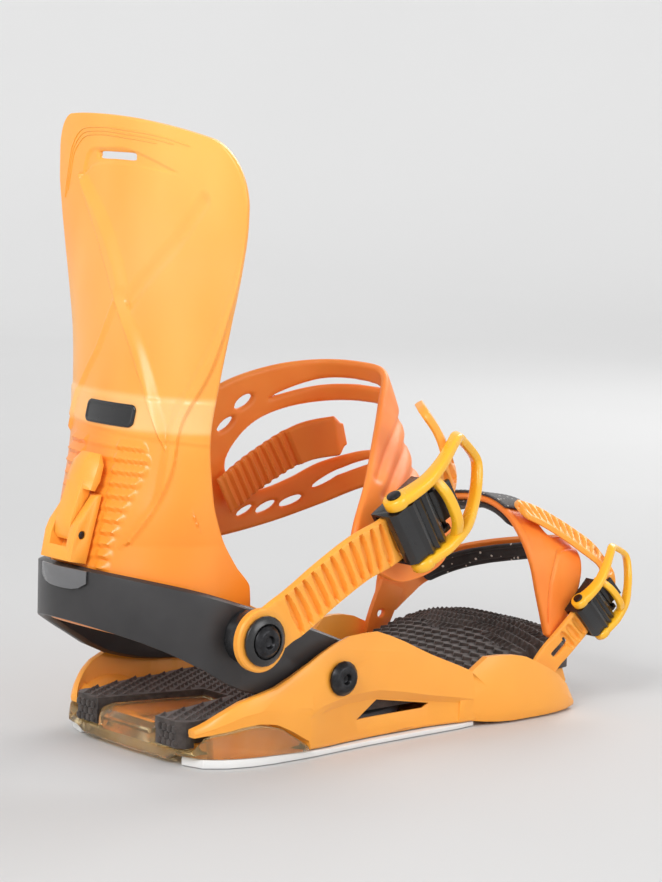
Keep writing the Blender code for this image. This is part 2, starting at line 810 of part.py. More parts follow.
def highback_point(s, z):
    """Point of the outer face: s runs from -1 at the near edge to 1 at the far edge."""
    spine = along(SPINE_X, z)
    depth = along(NEAR_EDGE_X if s < 0 else FAR_EDGE_X, z) - spine
    straight = max(0.0, depth - CUP_DEPTH)
    wrap = math.radians(along(WRAP_DEG, z))
    a = (depth - straight) / (1 - math.cos(wrap))
    b = along(NEAR_WIDTH if s < 0 else FAR_WIDTH, z) / math.sin(wrap)
    arc = wrap * (a + b) / 2
    run = abs(s) * (arc + straight)
    angle = wrap * min(1.0, run / arc)
    beyond = max(0.0, run - arc)
    x = spine + a * (1 - math.cos(angle)) + beyond
    return Vector((x, math.copysign(b * math.sin(angle), s), z))


def shell_height(s, v):
    """Height at s of the line a share v of the way up the shell, and its drop from the top."""
    low = 62 - 9.5 * min(1.0, abs(s) / 0.62) ** 2
    top = TOP_PEAK_Z - TOP_FALL * (s * 56 - TOP_PEAK_Y) ** 2
    z = low + (top - low) * v
    return z, top - z


def highback_normal(s, z):
    s = max(-0.99, min(0.99, s))
    sideways = highback_point(s + 0.01, z) - highback_point(s - 0.01, z)
    upwards = highback_point(s, z + 1) - highback_point(s, z - 1)
    return upwards.cross(sideways).normalized()


def highback_surface(rows, columns):
    """Points of the shell's outer face and their normals."""
    grid, normals = [], []
    for i in range(rows):
        v = 1 - (1 - i / (rows - 1)) ** 1.35
        line, outward = [], []
        for j in range(columns):
            s = -1 + 2 * j / (columns - 1)
            radius = NEAR_CORNER_R if s < 0 else FAR_CORNER_R
            inside = max(0.0, 1 - shell_height(s, v)[1] / radius)
            s *= 1 - radius / 64 * (1 - math.sqrt(max(0.0, 1 - inside**2)))
            z = shell_height(s, v)[0]
            line.append(highback_point(s, z))
            outward.append(highback_normal(s, z))
        grid.append(line)
        normals.append(outward)
    return grid, normals


def surface_patch(s_range, z_range, rows, columns):
    (s0, s1), (z0, z1) = s_range, z_range
    patch = []
    for i in range(rows + 1):
        z = z0 + (z1 - z0) * i / rows
        line = [highback_point(s0 + (s1 - s0) * j / columns, z) for j in range(columns + 1)]
        patch.append(line)
    return patch


def build_highback():
    grid, normals = highback_surface(15, 17)
    bm = sheet(grid, -SHELL_THICKNESS, 0, normals=normals)
    shell = place("highback_shell", bm, "highback_orange", "highback")
    lug_low = HOOP_OUTER_Y - HOOP_THICKNESS - 0.7 - SHELL_THICKNESS
    for side in (-1, 1):
        lug = cylinder(13.0, (PIVOT_X, 0, PIVOT_Z), SIDE * side, lug_low, lug_low + 3.5, 24)
        add(shell, lug, "highback")
    cut(shell, cylinder(BOLT_HOLE_R, (PIVOT_X, 0, PIVOT_Z), SIDE, -80, 80, 16), "highback")
    slot = [(1, -1.6), (29, -1.0), (29, 1.9), (3, 1.6)]
    cut(shell, prism(slot, (0, 0, 270.4), (0, 1, 0), (0, 0, 1), -120, -95), "highback")

    patch = surface_patch((-0.34, 0.3), (147.6, 160.2), 2, 8)
    place("highback_badge", sheet(patch, GAP, 1.6), "black_plastic", "highback")
    patch = surface_patch((-0.8, 0.8), (122, 258), 7, 10)
    inner = -SHELL_THICKNESS - GAP - 0.8
    place("highback_liner", sheet(patch, inner - 4.0, inner), "liner_eva", "highback")


# ---------------------------------------------------------------- forward-lean adjuster

LEAN_SLOPE = Vector((18.8, 0, 69.0)).normalized()
LEAN_OUT = Vector((-LEAN_SLOPE.z, 0, LEAN_SLOPE.x))
LEAN_AT = Vector((-134.6, 0, 94.4))
LEAN_PIN = (8.0, 6.6)
# (height, half width, inner face, outer face) of the lever's broad end
LEVER_HEAD = ((28.2, 9.2, 4.0, 9.4), (33, 10, 2.9, 9.6), (40.5, 9.6, 2.7, 8.6), (45, 6.8, 3.2, 6.8))


def lean_point(up, out):
    return LEAN_AT + LEAN_SLOPE * up + LEAN_OUT * out


PIVOTS["lean_block"] = lean_point(0, 0)
PIVOTS["lean_lever"] = lean_point(*LEAN_PIN)


def build_lean_adjuster():
    ears = [(-4, 1.0), (27.5, 1.0), (26.5, 3.6), (12, 10), (7.5, 10.8), (-4.6, 9.9)]
    block = prism(ears, LEAN_AT, LEAN_SLOPE, LEAN_OUT, -11, 11)
    block = place("lean_block", block, "ladder_orange", "lean_block")
    slot = [(1.6, 3.1), (40, 3.1), (40, 30), (1.6, 30)]
    cut(block, prism(slot, LEAN_AT, LEAN_SLOPE, LEAN_OUT, -6.2, 6.2), "lean_block")
    pin_at = lean_point(*LEAN_PIN)
    cut(block, cylinder(2.0, pin_at, SIDE, -20, 20, 16), "lean_block")
    pin = [(0, -10.4), (1.7, -10.4), (1.7, 10.4), (0, 10.4)]
    place("lean_pin", turned(pin, pin_at, SIDE, 16), "black_steel", "lean_block")

    tongue = [(4.9, 6.0), (6.0, 4.2), (22, 3.7), (31, 4.2), (31, 9.2)]
    tongue += [(13, 10.5), (7, 9.3), (4.9, 7.6)]
    lever = prism(tongue, LEAN_AT, LEAN_SLOPE, LEAN_OUT, -5.6, 5.6)
    lever = place("lean_lever", lever, "ladder_orange", "lean_lever")
    rings = []
    for up, half, low, high in LEVER_HEAD:
        section = [(-half, low), (half, low), (half, high - 3)]
        section += [(3, high), (-3, high), (-half, high - 3)]
        rings.append([lean_point(up, out) + SIDE * y for y, out in section])
    add(lever, loft(rings), "lean_lever")
    cut(lever, cylinder(2.0, pin_at, SIDE, -20, 20, 16), "lean_lever")


# ---------------------------------------------------------------- buckles


def buckle_axes(along_strap, across):
    u = Vector(along_strap).normalized()
    v = Vector(across)
    v = (v - u * v.dot(u)).normalized()
    return u, v, v.cross(u).normalized()


ANKLE_BUCKLE_AT = Vector((6.0, -68.4, 108.1))
ANKLE_AXES = buckle_axes((0.85, 0.02, 0.53), (0.53, 0, -0.85))
TOE_BUCKLE_AT = Vector((139.6, -61.0, 52.2))
TOE_AXES = buckle_axes((0.715, 0, 0.7), (0.7, 0, -0.715))
LEVER_PIVOT = (-9.5, 8.6)
TRIGGER_PIVOT = (11.2, 7.6)


def local_point(at, axes, scale, u, v, n):
    return at + (axes[0] * u + axes[1] * v + axes[2] * n) * scale


for tag, spot, axes, size in (
    ("ankle", ANKLE_BUCKLE_AT, ANKLE_AXES, ANKLE_BUCKLE_SCALE),
    ("toe", TOE_BUCKLE_AT, TOE_AXES, TOE_BUCKLE_SCALE),
):
    PIVOTS[tag + "_lever"] = local_point(spot, axes, size, LEVER_PIVOT[0], 0, LEVER_PIVOT[1])
    PIVOTS[tag + "_trigger"] = local_point(spot, axes, size, TRIGGER_PIVOT[0], 0, TRIGGER_PIVOT[1])


def build_buckle(tag, at, axes, size, reach):
    """A ratchet buckle: tunnel body, drive lever on its pin, and a sprung release trigger."""
    u, v, n = axes
    strap = tag + "_strap"

    def side_prism(outline, low, high):
        """An outline in the strap's side view, drawn across the strap."""
        scaled = [(a * size, b * size) for a, b in outline]
        return prism(scaled, at, u, n, -high * size, -low * size)

    def pin(radius, half, head, spot):
        profile = [(0, -half), (head, -half), (head, -half + 1.2), (radius, -half + 1.2)]
        profile += [(radius, half - 1.2), (head, half - 1.2), (head, half), (0, half)]
        profile = [(r * size, h * size) for r, h in profile]
        return turned(profile, local_point(at, axes, size, spot[0], 0, spot[1]), v, 14)

    body = [(-17, -3.2), (13, -3.2), (13, 8), (12, 10), (8.6, 10), (7, 9.2), (5.6, 12.2)]
    body += [(2.6, 14.2), (1.2, 12.8), (-1.8, 14.8), (-3.2, 13.2), (-6.4, 14.6)]
    body += [(-8.4, 12.8), (-15, 12.2), (-17, 9)]
    shell = place(tag + "_buckle_body", side_prism(body, -13.8, 13.8), "black_plastic", strap)
    tunnel = [(-20, -1.1), (-12, -0.5), (7, -0.5), (30, -3.4), (30, 5.6), (-20, 5.6)]
    cut(shell, side_prism(tunnel, -12.5, 12.5), strap)
    lever_bore = local_point(at, axes, size, LEVER_PIVOT[0], 0, LEVER_PIVOT[1])
    cut(shell, cylinder(2.3 * size, lever_bore, v, -30, 30, 16), strap)
    cut(shell, side_prism([(8.0, 5.0), (30, 5.0), (30, 20), (8.0, 20)], -11.6, 11.6), strap)
    trigger_bore = local_point(at, axes, size, TRIGGER_PIVOT[0], 0, TRIGGER_PIVOT[1])
    cut(shell, cylinder(1.5 * size, trigger_bore, v, -13.2 * size, 13.2 * size, 12), strap)

    place(tag + "_lever_pin", pin(1.9, 21.2, 3.4, LEVER_PIVOT), "black_steel", strap)
    bm = cylinder(1.2 * size, trigger_bore, v, -12.9 * size, 12.9 * size, 12)
    place(tag + "_trigger_pin", bm, "black_steel", strap)

    lever = place(tag + "_lever", lever_loop(at, axes, size, reach), "lever_gold", tag + "_lever")
    add(lever, lever_bar(at, axes, size), tag + "_lever")
    cut(lever, cylinder(2.3 * size, lever_bore, v, -40, 40, 16), tag + "_lever")

    pawl = [(8.8, 8.6), (9.8, 5.4), (12, 5.2), (14, 7.2), (21, 10.4)]
    pawl += [(20.6, 12.2), (14.5, 10.8), (10.6, 10.0)]
    trigger = side_prism(pawl, -8.4, 8.4)
    trigger = place(tag + "_trigger", trigger, "black_plastic", tag + "_trigger")
    cut(trigger, cylinder(1.5 * size, trigger_bore, v, -20, 20, 12), tag + "_trigger")


def rod(line, count, rise, wide, deep, end_wide=0.0):
    """A bar with chamfered corners along a curve; rise is the direction of its depth."""
    centre = resample(spline(line, 90), count)
    rings = []
    for k, point in enumerate(centre):
        ahead = (centre[min(k + 1, count - 1)] - centre[max(k - 1, 0)]).normalized()
        across = ahead.cross(rise).normalized()
        thick = ahead.cross(across).normalized()
        near_end = max(0.0, 1 - min(k, count - 1 - k) / 4)
        w, d = wide + end_wide * near_end, deep + 0.8 * end_wide * near_end
        corners = [(-w, -d * 0.6), (0, -d), (w, -d * 0.6), (w, d * 0.6), (0, d), (-w, d * 0.6)]
        rings.append([point + across * a + thick * b for a, b in corners])
    return rings


# Centre line of the lever's frame, from one end of the pin round the finger loop to the other
LEVER_LOOP = (
    (-9.5, -17.2, 8.6),
    (3, -17.5, 12.4),
    (18, -18.4, 13.0),
    (32, -19.6, 10.0),
    (41, -17.6, 5.8),
    (47, -8, 2.2),
    (49, 0, 0.8),
    (45.5, 9, 1.6),
    (34, 14.4, 6.0),
    (20, 17.2, 11.4),
    (5, 17.5, 12.4),
    (-9.5, 17.2, 8.6),
)
LEVER_BAR = ((12, -17.6, 12.9), (12.6, -9, 16.8), (12.6, 0, 17.4), (12.6, 9, 16.8), (12, 17.2, 12.4))


def lever_loop(at, axes, size, reach):
    """A frame-shaped lever; reach stretches the part beyond the cross bar."""
    line = [(u if u < 13 else 13 + (u - 13) * reach, v, n) for u, v, n in LEVER_LOOP]
    rings = rod(line, 26, Vector((0.35, 0, -0.94)), 1.8, 2.7, 0.5)
    for ring in (rings[0], rings[-1]):
        for point in ring:
            point.x -= 3.2
    return loft([[local_point(at, axes, size, *p) for p in ring] for ring in rings])


def lever_bar(at, axes, size):
    rings = rod(LEVER_BAR, 9, Vector((0.1, 0, -1)), 1.6, 1.7)
    return loft([[local_point(at, axes, size, *p) for p in ring] for ring in rings])


# ---------------------------------------------------------------- ankle strap

def straight(at, axes, half):
    """The stretch of a ladder strap inside its buckle."""
    return [tuple(at + axes[0] * half * share) for share in (-1, -0.33, 0.33, 1)]


ANKLE_LADDER = (
    (PIVOT_X, -63.2, PIVOT_Z),
    (-69.5, -64.0, 65.6),
    (-58, -64.8, 72.4),
    (-44, -65.8, 81.4),
    (-26, -67.2, 91.6),
    *straight(ANKLE_BUCKLE_AT, ANKLE_AXES, 18.5),
    (29.5, -66.3, 126),
    (31, -63, 134.5),
    (27.5, -59.5, 145.5),
    (19.5, -56, 157.5),
)
ANKLE_LADDER_ACROSS = (
    (0.51, 0, -0.86),
    (0.52, 0, -0.86),
    (0.53, 0, -0.85),
    (0.53, 0, -0.85),
    (0.53, 0, -0.85),
    (0.53, 0, -0.85),
    (0.53, 0, -0.85),
    (0.53, 0, -0.85),
    (0.53, 0, -0.85),
    (0.72, 0.35, -0.5),
    (0.74, 0.6, -0.25),
    (0.68, 0.7, -0.1),
    (0.66, 0.75, 0),
)

# Upper and lower edge of the ankle pad, from the far end to the near end
PAD_TOP = (
    (-50, 60.5, 116),
    (-28, 58.5, 146),
    (-6, 55.5, 159.5),
    (22, 52.5, 167),
    (42, 40, 170.5),
    (50, 18, 171),
    (48, -2, 168.5),
    (33, -17, 156),
    (14, -33, 138),
    (-5, -49, 122),
    (-19, -58.5, 108),
    (-23, -61, 98),
    (-21, -61.8, 91.5),
)
PAD_BOTTOM = (
    (-54, 61.5, 84),
    (-30, 61.5, 80.5),
    (-4, 60, 82),
    (28, 56, 87.5),
    (50, 42, 97),
    (60, 22, 107),
    (61, -2, 112),
    (52, -22, 110),
    (49.5, -40, 106),
    (49, -54, 99),
    (34, -61.8, 83),
    (9, -62.6, 76.5),
    (-9, -62.6, 82.5),
)
# Shares of the way down the pad at which its strips change
PAD_LINES = (0, 0.09, 0.17, 0.3, 0.44, 0.52, 0.7, 0.8, 0.86, 0.93, 1)


def pad_surface(rows):
    top = spline(PAD_TOP, rows)
    bottom = spline(PAD_BOTTOM, rows)
    grid = []
    for k, (a, b) in enumerate(zip(top, bottom)):
        middle = Vector(((a.x + b.x) / 2, (a.y + b.y) / 2, 0))
        outward = (middle - Vector((-35, 0, 0))).normalized()
        from_end = min(k, rows - 1 - k) / (rows - 1)
        swell = 4.0 * min(1.0, max(0.0, 4 * (from_end - 0.16)))
        grid.append([a.lerp(b, t) + outward * swell * math.sin(math.pi * t) for t in PAD_LINES])
    return grid


def pad_cell(i, j, rows):
    """Which cells of the pad are solid: long windows in the half away from the buckle."""
    share = i / rows
    windows = {1: (0.18, 0.48), 3: (0.14, 0.54), 5: (0.22, 0.54), 8: (0.2, 0.34)}
    low, high = windows.get(j, (2, 2))
    return not low <= share < high


def build_ankle_strap():
    ladder = toothed_strap(ANKLE_LADDER, ANKLE_LADDER_ACROSS, ANKLE_LADDER_WIDTH, 13, 22)
    ladder = place("ankle_ladder", ladder, "ladder_orange", "ankle_strap")
    head = cylinder(LUG_R, (PIVOT_X, 0, PIVOT_Z), -SIDE, 63.0, 67.2, 32)
    add(ladder, head, "ankle_strap")
    cut(ladder, cylinder(BOLT_HOLE_R, (PIVOT_X, 0, PIVOT_Z), SIDE, -80, -50, 16), "ankle_strap")

    rows = 23
    grid = pad_surface(rows)
    bm = sheet(grid, -2.0, 2.0, lambda i, j: pad_cell(i, j, rows - 1))
    place("ankle_pad", bm, "strap_orange", "ankle_strap")

    far = [(PIVOT_X, 63.4, PIVOT_Z), (-66, 64.2, 66), (-52, 66.2, 77)]
    far += [(-42, 67.4, 86), (-32, 67.6, 95)]
    across = [(0.4, 0, -0.9), (0.5, 0, -0.85), (0.62, 0, -0.75), (0.67, 0, -0.72), (0.67, 0, -0.72)]
    rings = []
    for k, (point, width, out) in enumerate(strap_frames(far, across, 13)):
        half = 11.0 - (3 if k == 12 else 0)
        a, b = width * half, -out * 3.2
        rings.append([point - a, point + a, point + a + b, point - a + b])
    link = place("ankle_far_link", loft(rings), "ladder_orange", "ankle_strap")
    add(link, cylinder(LUG_R, (PIVOT_X, 0, PIVOT_Z), SIDE, 63.2, 67.2, 32), "ankle_strap")
    cut(link, cylinder(BOLT_HOLE_R, (PIVOT_X, 0, PIVOT_Z), SIDE, 50, 80, 16), "ankle_strap")

    # The length-adjusting ladder, on the inner face of the pad's far side
    adjuster = ((-8, 51.0, 104), (14, 51.2, 116.5), (36, 43.5, 129), (52, 28, 134))
    across = ((0.5, 0, -0.86), (0.45, 0, -0.88), (0.3, 0, -0.95), (0.15, -0.1, -0.98))
    bm = toothed_strap(adjuster, across, 20, 4, 9)
    place("ankle_adjuster", bm, "strap_orange", "ankle_strap")


# ---------------------------------------------------------------- toe strap

TOE_LADDER = (
    (ANCHOR_X, -55.8, ANCHOR_Z),
    (115.5, -56.6, 26.5),
    *straight(TOE_BUCKLE_AT, TOE_AXES, 13.5),
    (150.5, -59.6, 68.5),
    (146.5, -55.2, 76),
    (138, -50.8, 83),
    (128, -47.6, 89.5),
    (117, -45, 95.5),
    (104, -43, 100.5),
)
TOE_LADDER_ACROSS = (
    (0.6, 0, -0.8),
    (0.68, 0, -0.73),
    (0.7, 0, -0.715),
    (0.7, 0, -0.715),
    (0.7, 0, -0.715),
    (0.7, 0, -0.715),
    (0.8, 0.25, -0.4),
    (0.8, 0.5, 0.1),
    (0.7, 0.65, 0.25),
    (0.62, 0.72, 0.3),
    (0.6, 0.75, 0.3),
    (0.55, 0.8, 0.25),
)

# Rear edge, front edge of the upper band, rear edge and front edge of the lower band
TOE_LINES = (
    (
        (103, 57.4, 34),
        (105, 57.2, 52),
        (106, 55, 70),
        (106, 43, 88),
        (106, 22, 97),
        (106, 0, 102),
        (105, -20, 102.5),
        (102, -37, 98),
        (100, -49, 89),
        (102, -55, 76),
        (106, -56.2, 60),
        (114, -55.2, 38.5),
    ),
    (
        (108, 57.4, 33.5),
        (113, 57.4, 49),
        (120, 56, 66),
        (126, 44, 84),
        (128, 24, 93.5),
        (128, 0, 98.5),
        (126, -20, 99),
        (119, -38, 95),
        (113, -50, 86),
        (112, -55.4, 74),
        (112, -56.4, 57.5),
        (115.4, -55.2, 37.6),
    ),
    (
        (113, 57.4, 33),
        (122, 57.6, 46),
        (134, 56, 58),
        (146, 44, 66),
        (153, 26, 71.5),
        (156, 2, 76.5),
        (152, -18, 80),
        (142, -37, 83),
        (127, -50, 81),
        (122, -55, 72),
        (120, -56.4, 54),
        (116.8, -55.2, 36.8),
    ),
    (
        (118, 57.4, 32.5),
        (129, 57.6, 39.5),
        (140, 57, 46),
        (151, 46, 53),
        (158, 28, 59),
        (161, 3, 64.5),
        (158, -18, 69),
        (151, -37, 73),
        (141, -51, 75),
        (138, -55.6, 67),
        (132, -56.6, 52),
        (119, -55.2, 36),
    ),
)


def toe_surface(rows):
    edges = [spline(line, rows) for line in TOE_LINES]
    return [list(points) for points in zip(*edges)]


def build_toe_strap():
    rows = 25
    grid = toe_surface(rows)
    frame = sheet(grid, -1.6, 1.6, lambda i, j: not (j == 1 and 4 <= i < 17))
    place("toe_cap_frame", frame, "strap_orange", "toe_strap")

    # Stretch sleeve over the middle of the upper band
    sleeve = [[a.lerp(b, -0.02), a.lerp(b, 0.5), a.lerp(b, 1.02)] for a, b, _, _ in grid[10:16]]
    place("toe_band_sleeve", sheet(sleeve, 2.0, 3.2), "liner_eva", "toe_strap")

    # Foam strips on the boot side of both bands
    upper = [[a.lerp(b, 0.08), a.lerp(b, 0.92)] for a, b, _, _ in grid[6:17]]
    place("toe_upper_liner", sheet(upper, -4.6, -2.1), "liner_eva", "toe_strap")
    lower = [[a.lerp(b, 0.12), a.lerp(b, 0.88)] for _, _, a, b in grid[4:17]]
    place("toe_lower_liner", sheet(lower, -5.4, -2.8), "liner_eva", "toe_strap")

    ladder = toothed_strap(TOE_LADDER, TOE_LADDER_ACROSS, TOE_LADDER_WIDTH, 12, 20, 0.72)
    ladder = place("toe_ladder", ladder, "ladder_orange", "toe_strap")
    lug = cylinder(8.2, (ANCHOR_X, 0, ANCHOR_Z), -SIDE, 55.6, 59.6, 24)
    add(ladder, lug, "toe_strap")
    cut(ladder, cylinder(2.4, (ANCHOR_X, 0, ANCHOR_Z), SIDE, -80, -40, 16), "toe_strap")

    far = ((ANCHOR_X, 55.4, ANCHOR_Z), (103.5, 54.6, 24), (106, 52.6, 36), (111, 51.6, 48))
    across = ((0.95, 0, 0.2), (0.97, 0, 0.1), (0.95, 0, -0.25), (0.9, 0, -0.4))
    rings = []
    for point, width, out in strap_frames(far, across, 13):
        a, b = width * 8, -out * 2.6
        rings.append([point - a, point + a, point + a + b, point - a + b])
    link = place("toe_far_link", loft(rings), "strap_orange", "toe_strap")
    add(link, cylinder(8.2, (ANCHOR_X, 0, ANCHOR_Z), SIDE, 55.2, 58.6, 24), "toe_strap")
    cut(link, cylinder(2.4, (ANCHOR_X, 0, ANCHOR_Z), SIDE, 40, 80, 16), "toe_strap")
    cut(link, cylinder(2.6, (104.2, 0, 33), SIDE, 40, 80, 16), "toe_strap")


# ---------------------------------------------------------------- assembly


def main():
    clear_scene()
    build_base()
    build_gasket()
    build_disc()
    build_heel_cushion()
    build_pads()
    build_hoop()
    build_side_fasteners()
    build_highback()
    build_lean_adjuster()
    build_ankle_strap()
    build_buckle("ankle", ANKLE_BUCKLE_AT, ANKLE_AXES, ANKLE_BUCKLE_SCALE, 1.0)
    build_toe_strap()
    build_buckle("toe", TOE_BUCKLE_AT, TOE_AXES, TOE_BUCKLE_SCALE, 1.2)


main()
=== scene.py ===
"""Looks of a strap-in snowboard binding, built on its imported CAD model."""

import json
import math

import bmesh
import bpy
import numpy as np
from mathutils import Matrix, Vector

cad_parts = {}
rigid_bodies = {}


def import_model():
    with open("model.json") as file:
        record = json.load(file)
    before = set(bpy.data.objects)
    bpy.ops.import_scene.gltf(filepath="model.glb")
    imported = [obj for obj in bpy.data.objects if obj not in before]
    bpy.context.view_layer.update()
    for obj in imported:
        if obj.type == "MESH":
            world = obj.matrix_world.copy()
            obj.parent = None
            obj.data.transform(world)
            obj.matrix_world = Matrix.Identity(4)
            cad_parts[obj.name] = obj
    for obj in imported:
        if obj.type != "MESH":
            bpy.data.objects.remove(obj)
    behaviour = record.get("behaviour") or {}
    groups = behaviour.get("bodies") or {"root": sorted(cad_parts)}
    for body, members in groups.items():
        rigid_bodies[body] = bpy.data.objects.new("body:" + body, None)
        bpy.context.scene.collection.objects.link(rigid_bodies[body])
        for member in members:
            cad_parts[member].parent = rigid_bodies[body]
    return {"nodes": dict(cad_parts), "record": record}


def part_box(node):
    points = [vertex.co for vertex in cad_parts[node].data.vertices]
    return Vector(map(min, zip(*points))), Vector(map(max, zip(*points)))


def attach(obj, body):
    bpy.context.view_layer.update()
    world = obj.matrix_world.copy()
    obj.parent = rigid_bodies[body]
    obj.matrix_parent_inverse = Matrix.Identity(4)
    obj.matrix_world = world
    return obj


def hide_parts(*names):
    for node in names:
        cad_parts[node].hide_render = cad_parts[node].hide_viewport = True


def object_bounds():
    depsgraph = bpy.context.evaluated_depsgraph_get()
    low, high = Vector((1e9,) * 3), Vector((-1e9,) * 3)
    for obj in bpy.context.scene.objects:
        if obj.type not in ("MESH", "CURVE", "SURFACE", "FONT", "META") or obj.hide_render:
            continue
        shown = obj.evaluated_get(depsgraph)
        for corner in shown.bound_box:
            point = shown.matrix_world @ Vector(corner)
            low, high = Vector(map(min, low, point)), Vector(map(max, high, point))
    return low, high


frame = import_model()
cad_low, cad_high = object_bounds()
MM = 0.001
RIM_SHARE = 0.3  # of a sheet's thickness, left at its rounded rim
SIDE = Vector((0, 1, 0))
LINKED = bpy.context.scene.collection.objects

# ---- materials

FOAM_GRAIN = 420.0
FLECK_CELLS = 360
FLECK_RADIUS = 0.2
FLECK_SOFT_RADIUS = 0.28
FLECKS_LEFT_OUT = 0.78  # share of the cells
FLECK_COLOUR = (0.72, 0.69, 0.63, 1)
HIGHBACK_FOOT, HIGHBACK_HEAD = 0.06, 0.28
HIGHBACK_TONES = [
    (0.0, (0.94, 0.29, 0.025)),
    (0.36, (0.96, 0.34, 0.04)),
    (0.405, (0.96, 0.37, 0.05)),
    (0.415, (0.98, 0.53, 0.2)),
    (0.475, (0.98, 0.54, 0.21)),
    (0.485, (0.96, 0.42, 0.08)),
    (0.75, (0.97, 0.47, 0.115)),
    (1.0, (0.97, 0.5, 0.1)),
]


def set_inputs(node, values):
    for key, value in values.items():
        node.inputs[key].default_value = value


def add(tree, kind, values=(), feeds=(), **settings):
    """A shader node with its settings, the values of its inputs, and what feeds them."""
    node = tree.nodes.new("ShaderNode" + kind)
    for key, value in settings.items():
        setattr(node, key, value)
    set_inputs(node, dict(values))
    for key, source in dict(feeds).items():
        tree.links.new(source, node.inputs[key])
    return node


def new_material(name, colour, rough, metal=0.0, coat=0.0, transmission=0.0, glow=0.0):
    """A Principled material whose uniform values sit on the shader's own sockets."""
    made = bpy.data.materials.new(name)
    made.use_nodes = True
    made.diffuse_color = (*colour, 1)
    shader = made.node_tree.nodes["Principled BSDF"]
    values = {"Base Color": (*colour, 1), "Roughness": rough, "Metallic": metal, "IOR": 1.46}
    values |= {"Coat Weight": coat, "Coat Roughness": 0.25, "Transmission Weight": transmission}
    set_inputs(shader, values)
    if glow:
        scatter = {"Subsurface Radius": (1.0, 0.45, 0.12), "Subsurface Scale": 0.004}
        set_inputs(shader, {"Subsurface Weight": glow, **scatter})
    return made, made.node_tree, shader


def coordinates(tree, scale=(1, 1, 1)):
    """The piece's own coordinates, in metres."""
    place = add(tree, "TexCoord").outputs["Object"]
    return add(tree, "Mapping", {"Scale": scale}, {"Vector": place}).outputs["Vector"]


def noise(tree, vector, scale, detail=3.0, rough=0.55):
    values = {"Scale": scale, "Detail": detail, "Roughness": rough}
    return add(tree, "TexNoise", values, {"Vector": vector}).outputs["Fac"]


def ramp(tree, factor, stops):
    """Colours along a factor, from stops of (position, colour)."""
    node = add(tree, "ValToRGB", feeds={"Fac": factor})
    elements = node.color_ramp.elements
    for k, (at, colour) in enumerate(stops):
        element = elements[k] if k < 2 else elements.new(at)
        element.position = at
        element.color = (*colour, 1)
    return node.outputs["Color"]


def spread(tree, factor, low, high, start=0.0, end=1.0):
    """Maps a factor from start..end to low..high."""
    values = {"From Min": start, "From Max": end, "To Min": low, "To Max": high}
    return add(tree, "MapRange", values, {"Value": factor}).outputs["Result"]


def bump(tree, shader, height, strength, distance):
    node = add(tree, "Bump", {"Strength": strength, "Distance": distance}, {"Height": height})
    tree.links.new(node.outputs["Normal"], shader.inputs["Normal"])


def shade(colour, by):
    return tuple(min(1.0, c * by) for c in colour)


def plastic(name, colour, rough, coat=0.0, glow=0.0, grain=0.12, deep=None):
    """Moulded plastic: a fine spark-eroded grain, slow colour drift and uneven gloss."""
    made, tree, shader = new_material(name, colour, rough, coat=coat, glow=glow)
    vector = coordinates(tree)
    drift = noise(tree, vector, 28, 2)
    tone = ramp(tree, drift, [(0.3, deep or shade(colour, 0.93)), (0.72, shade(colour, 1.04))])
    tree.links.new(tone, shader.inputs["Base Color"])
    handling = noise(tree, vector, 160, 4, 0.6)
    tree.links.new(
        spread(tree, handling, max(0.05, rough - 0.09), rough + 0.1), shader.inputs["Roughness"]
    )
    bump(tree, shader, noise(tree, vector, 2600, 2), grain, 0.0002)
    return made


def highback_material():
    """Slightly clear plastic that runs from pale at its top to deeper orange at its foot."""
    made, tree, shader = new_material("highback_plastic", (1.0, 0.52, 0.13), 0.32, coat=0.2, glow=0.12)
    set_inputs(shader, {"Subsurface Radius": (1.0, 0.55, 0.16), "Subsurface Scale": 0.006})
    vector = coordinates(tree)
    split = add(tree, "SeparateXYZ", feeds={"Vector": vector})
    height = spread(tree, split.outputs["Z"], 0.0, 1.0, HIGHBACK_FOOT, HIGHBACK_HEAD)
    tone = ramp(tree, height, HIGHBACK_TONES)
    smoke = noise(tree, coordinates(tree, (1, 1, 0.45)), 17, 2, 0.4)
    depth = ramp(tree, smoke, [(0.4, (1, 0.8, 0.5)), (0.62, (1, 1, 1))])
    settings = {"data_type": "RGBA", "blend_type": "MULTIPLY"}
    cloud = add(tree, "Mix", {"Factor": 1.0}, {"A": tone, "B": depth}, **settings)
    tree.links.new(cloud.outputs["Result"], shader.inputs["Base Color"])
    handling = noise(tree, vector, 120, 4, 0.6)
    tree.links.new(spread(tree, handling, 0.28, 0.44), shader.inputs["Roughness"])
    bump(tree, shader, noise(tree, vector, 900, 3), 0.08, 0.0002)
    return made


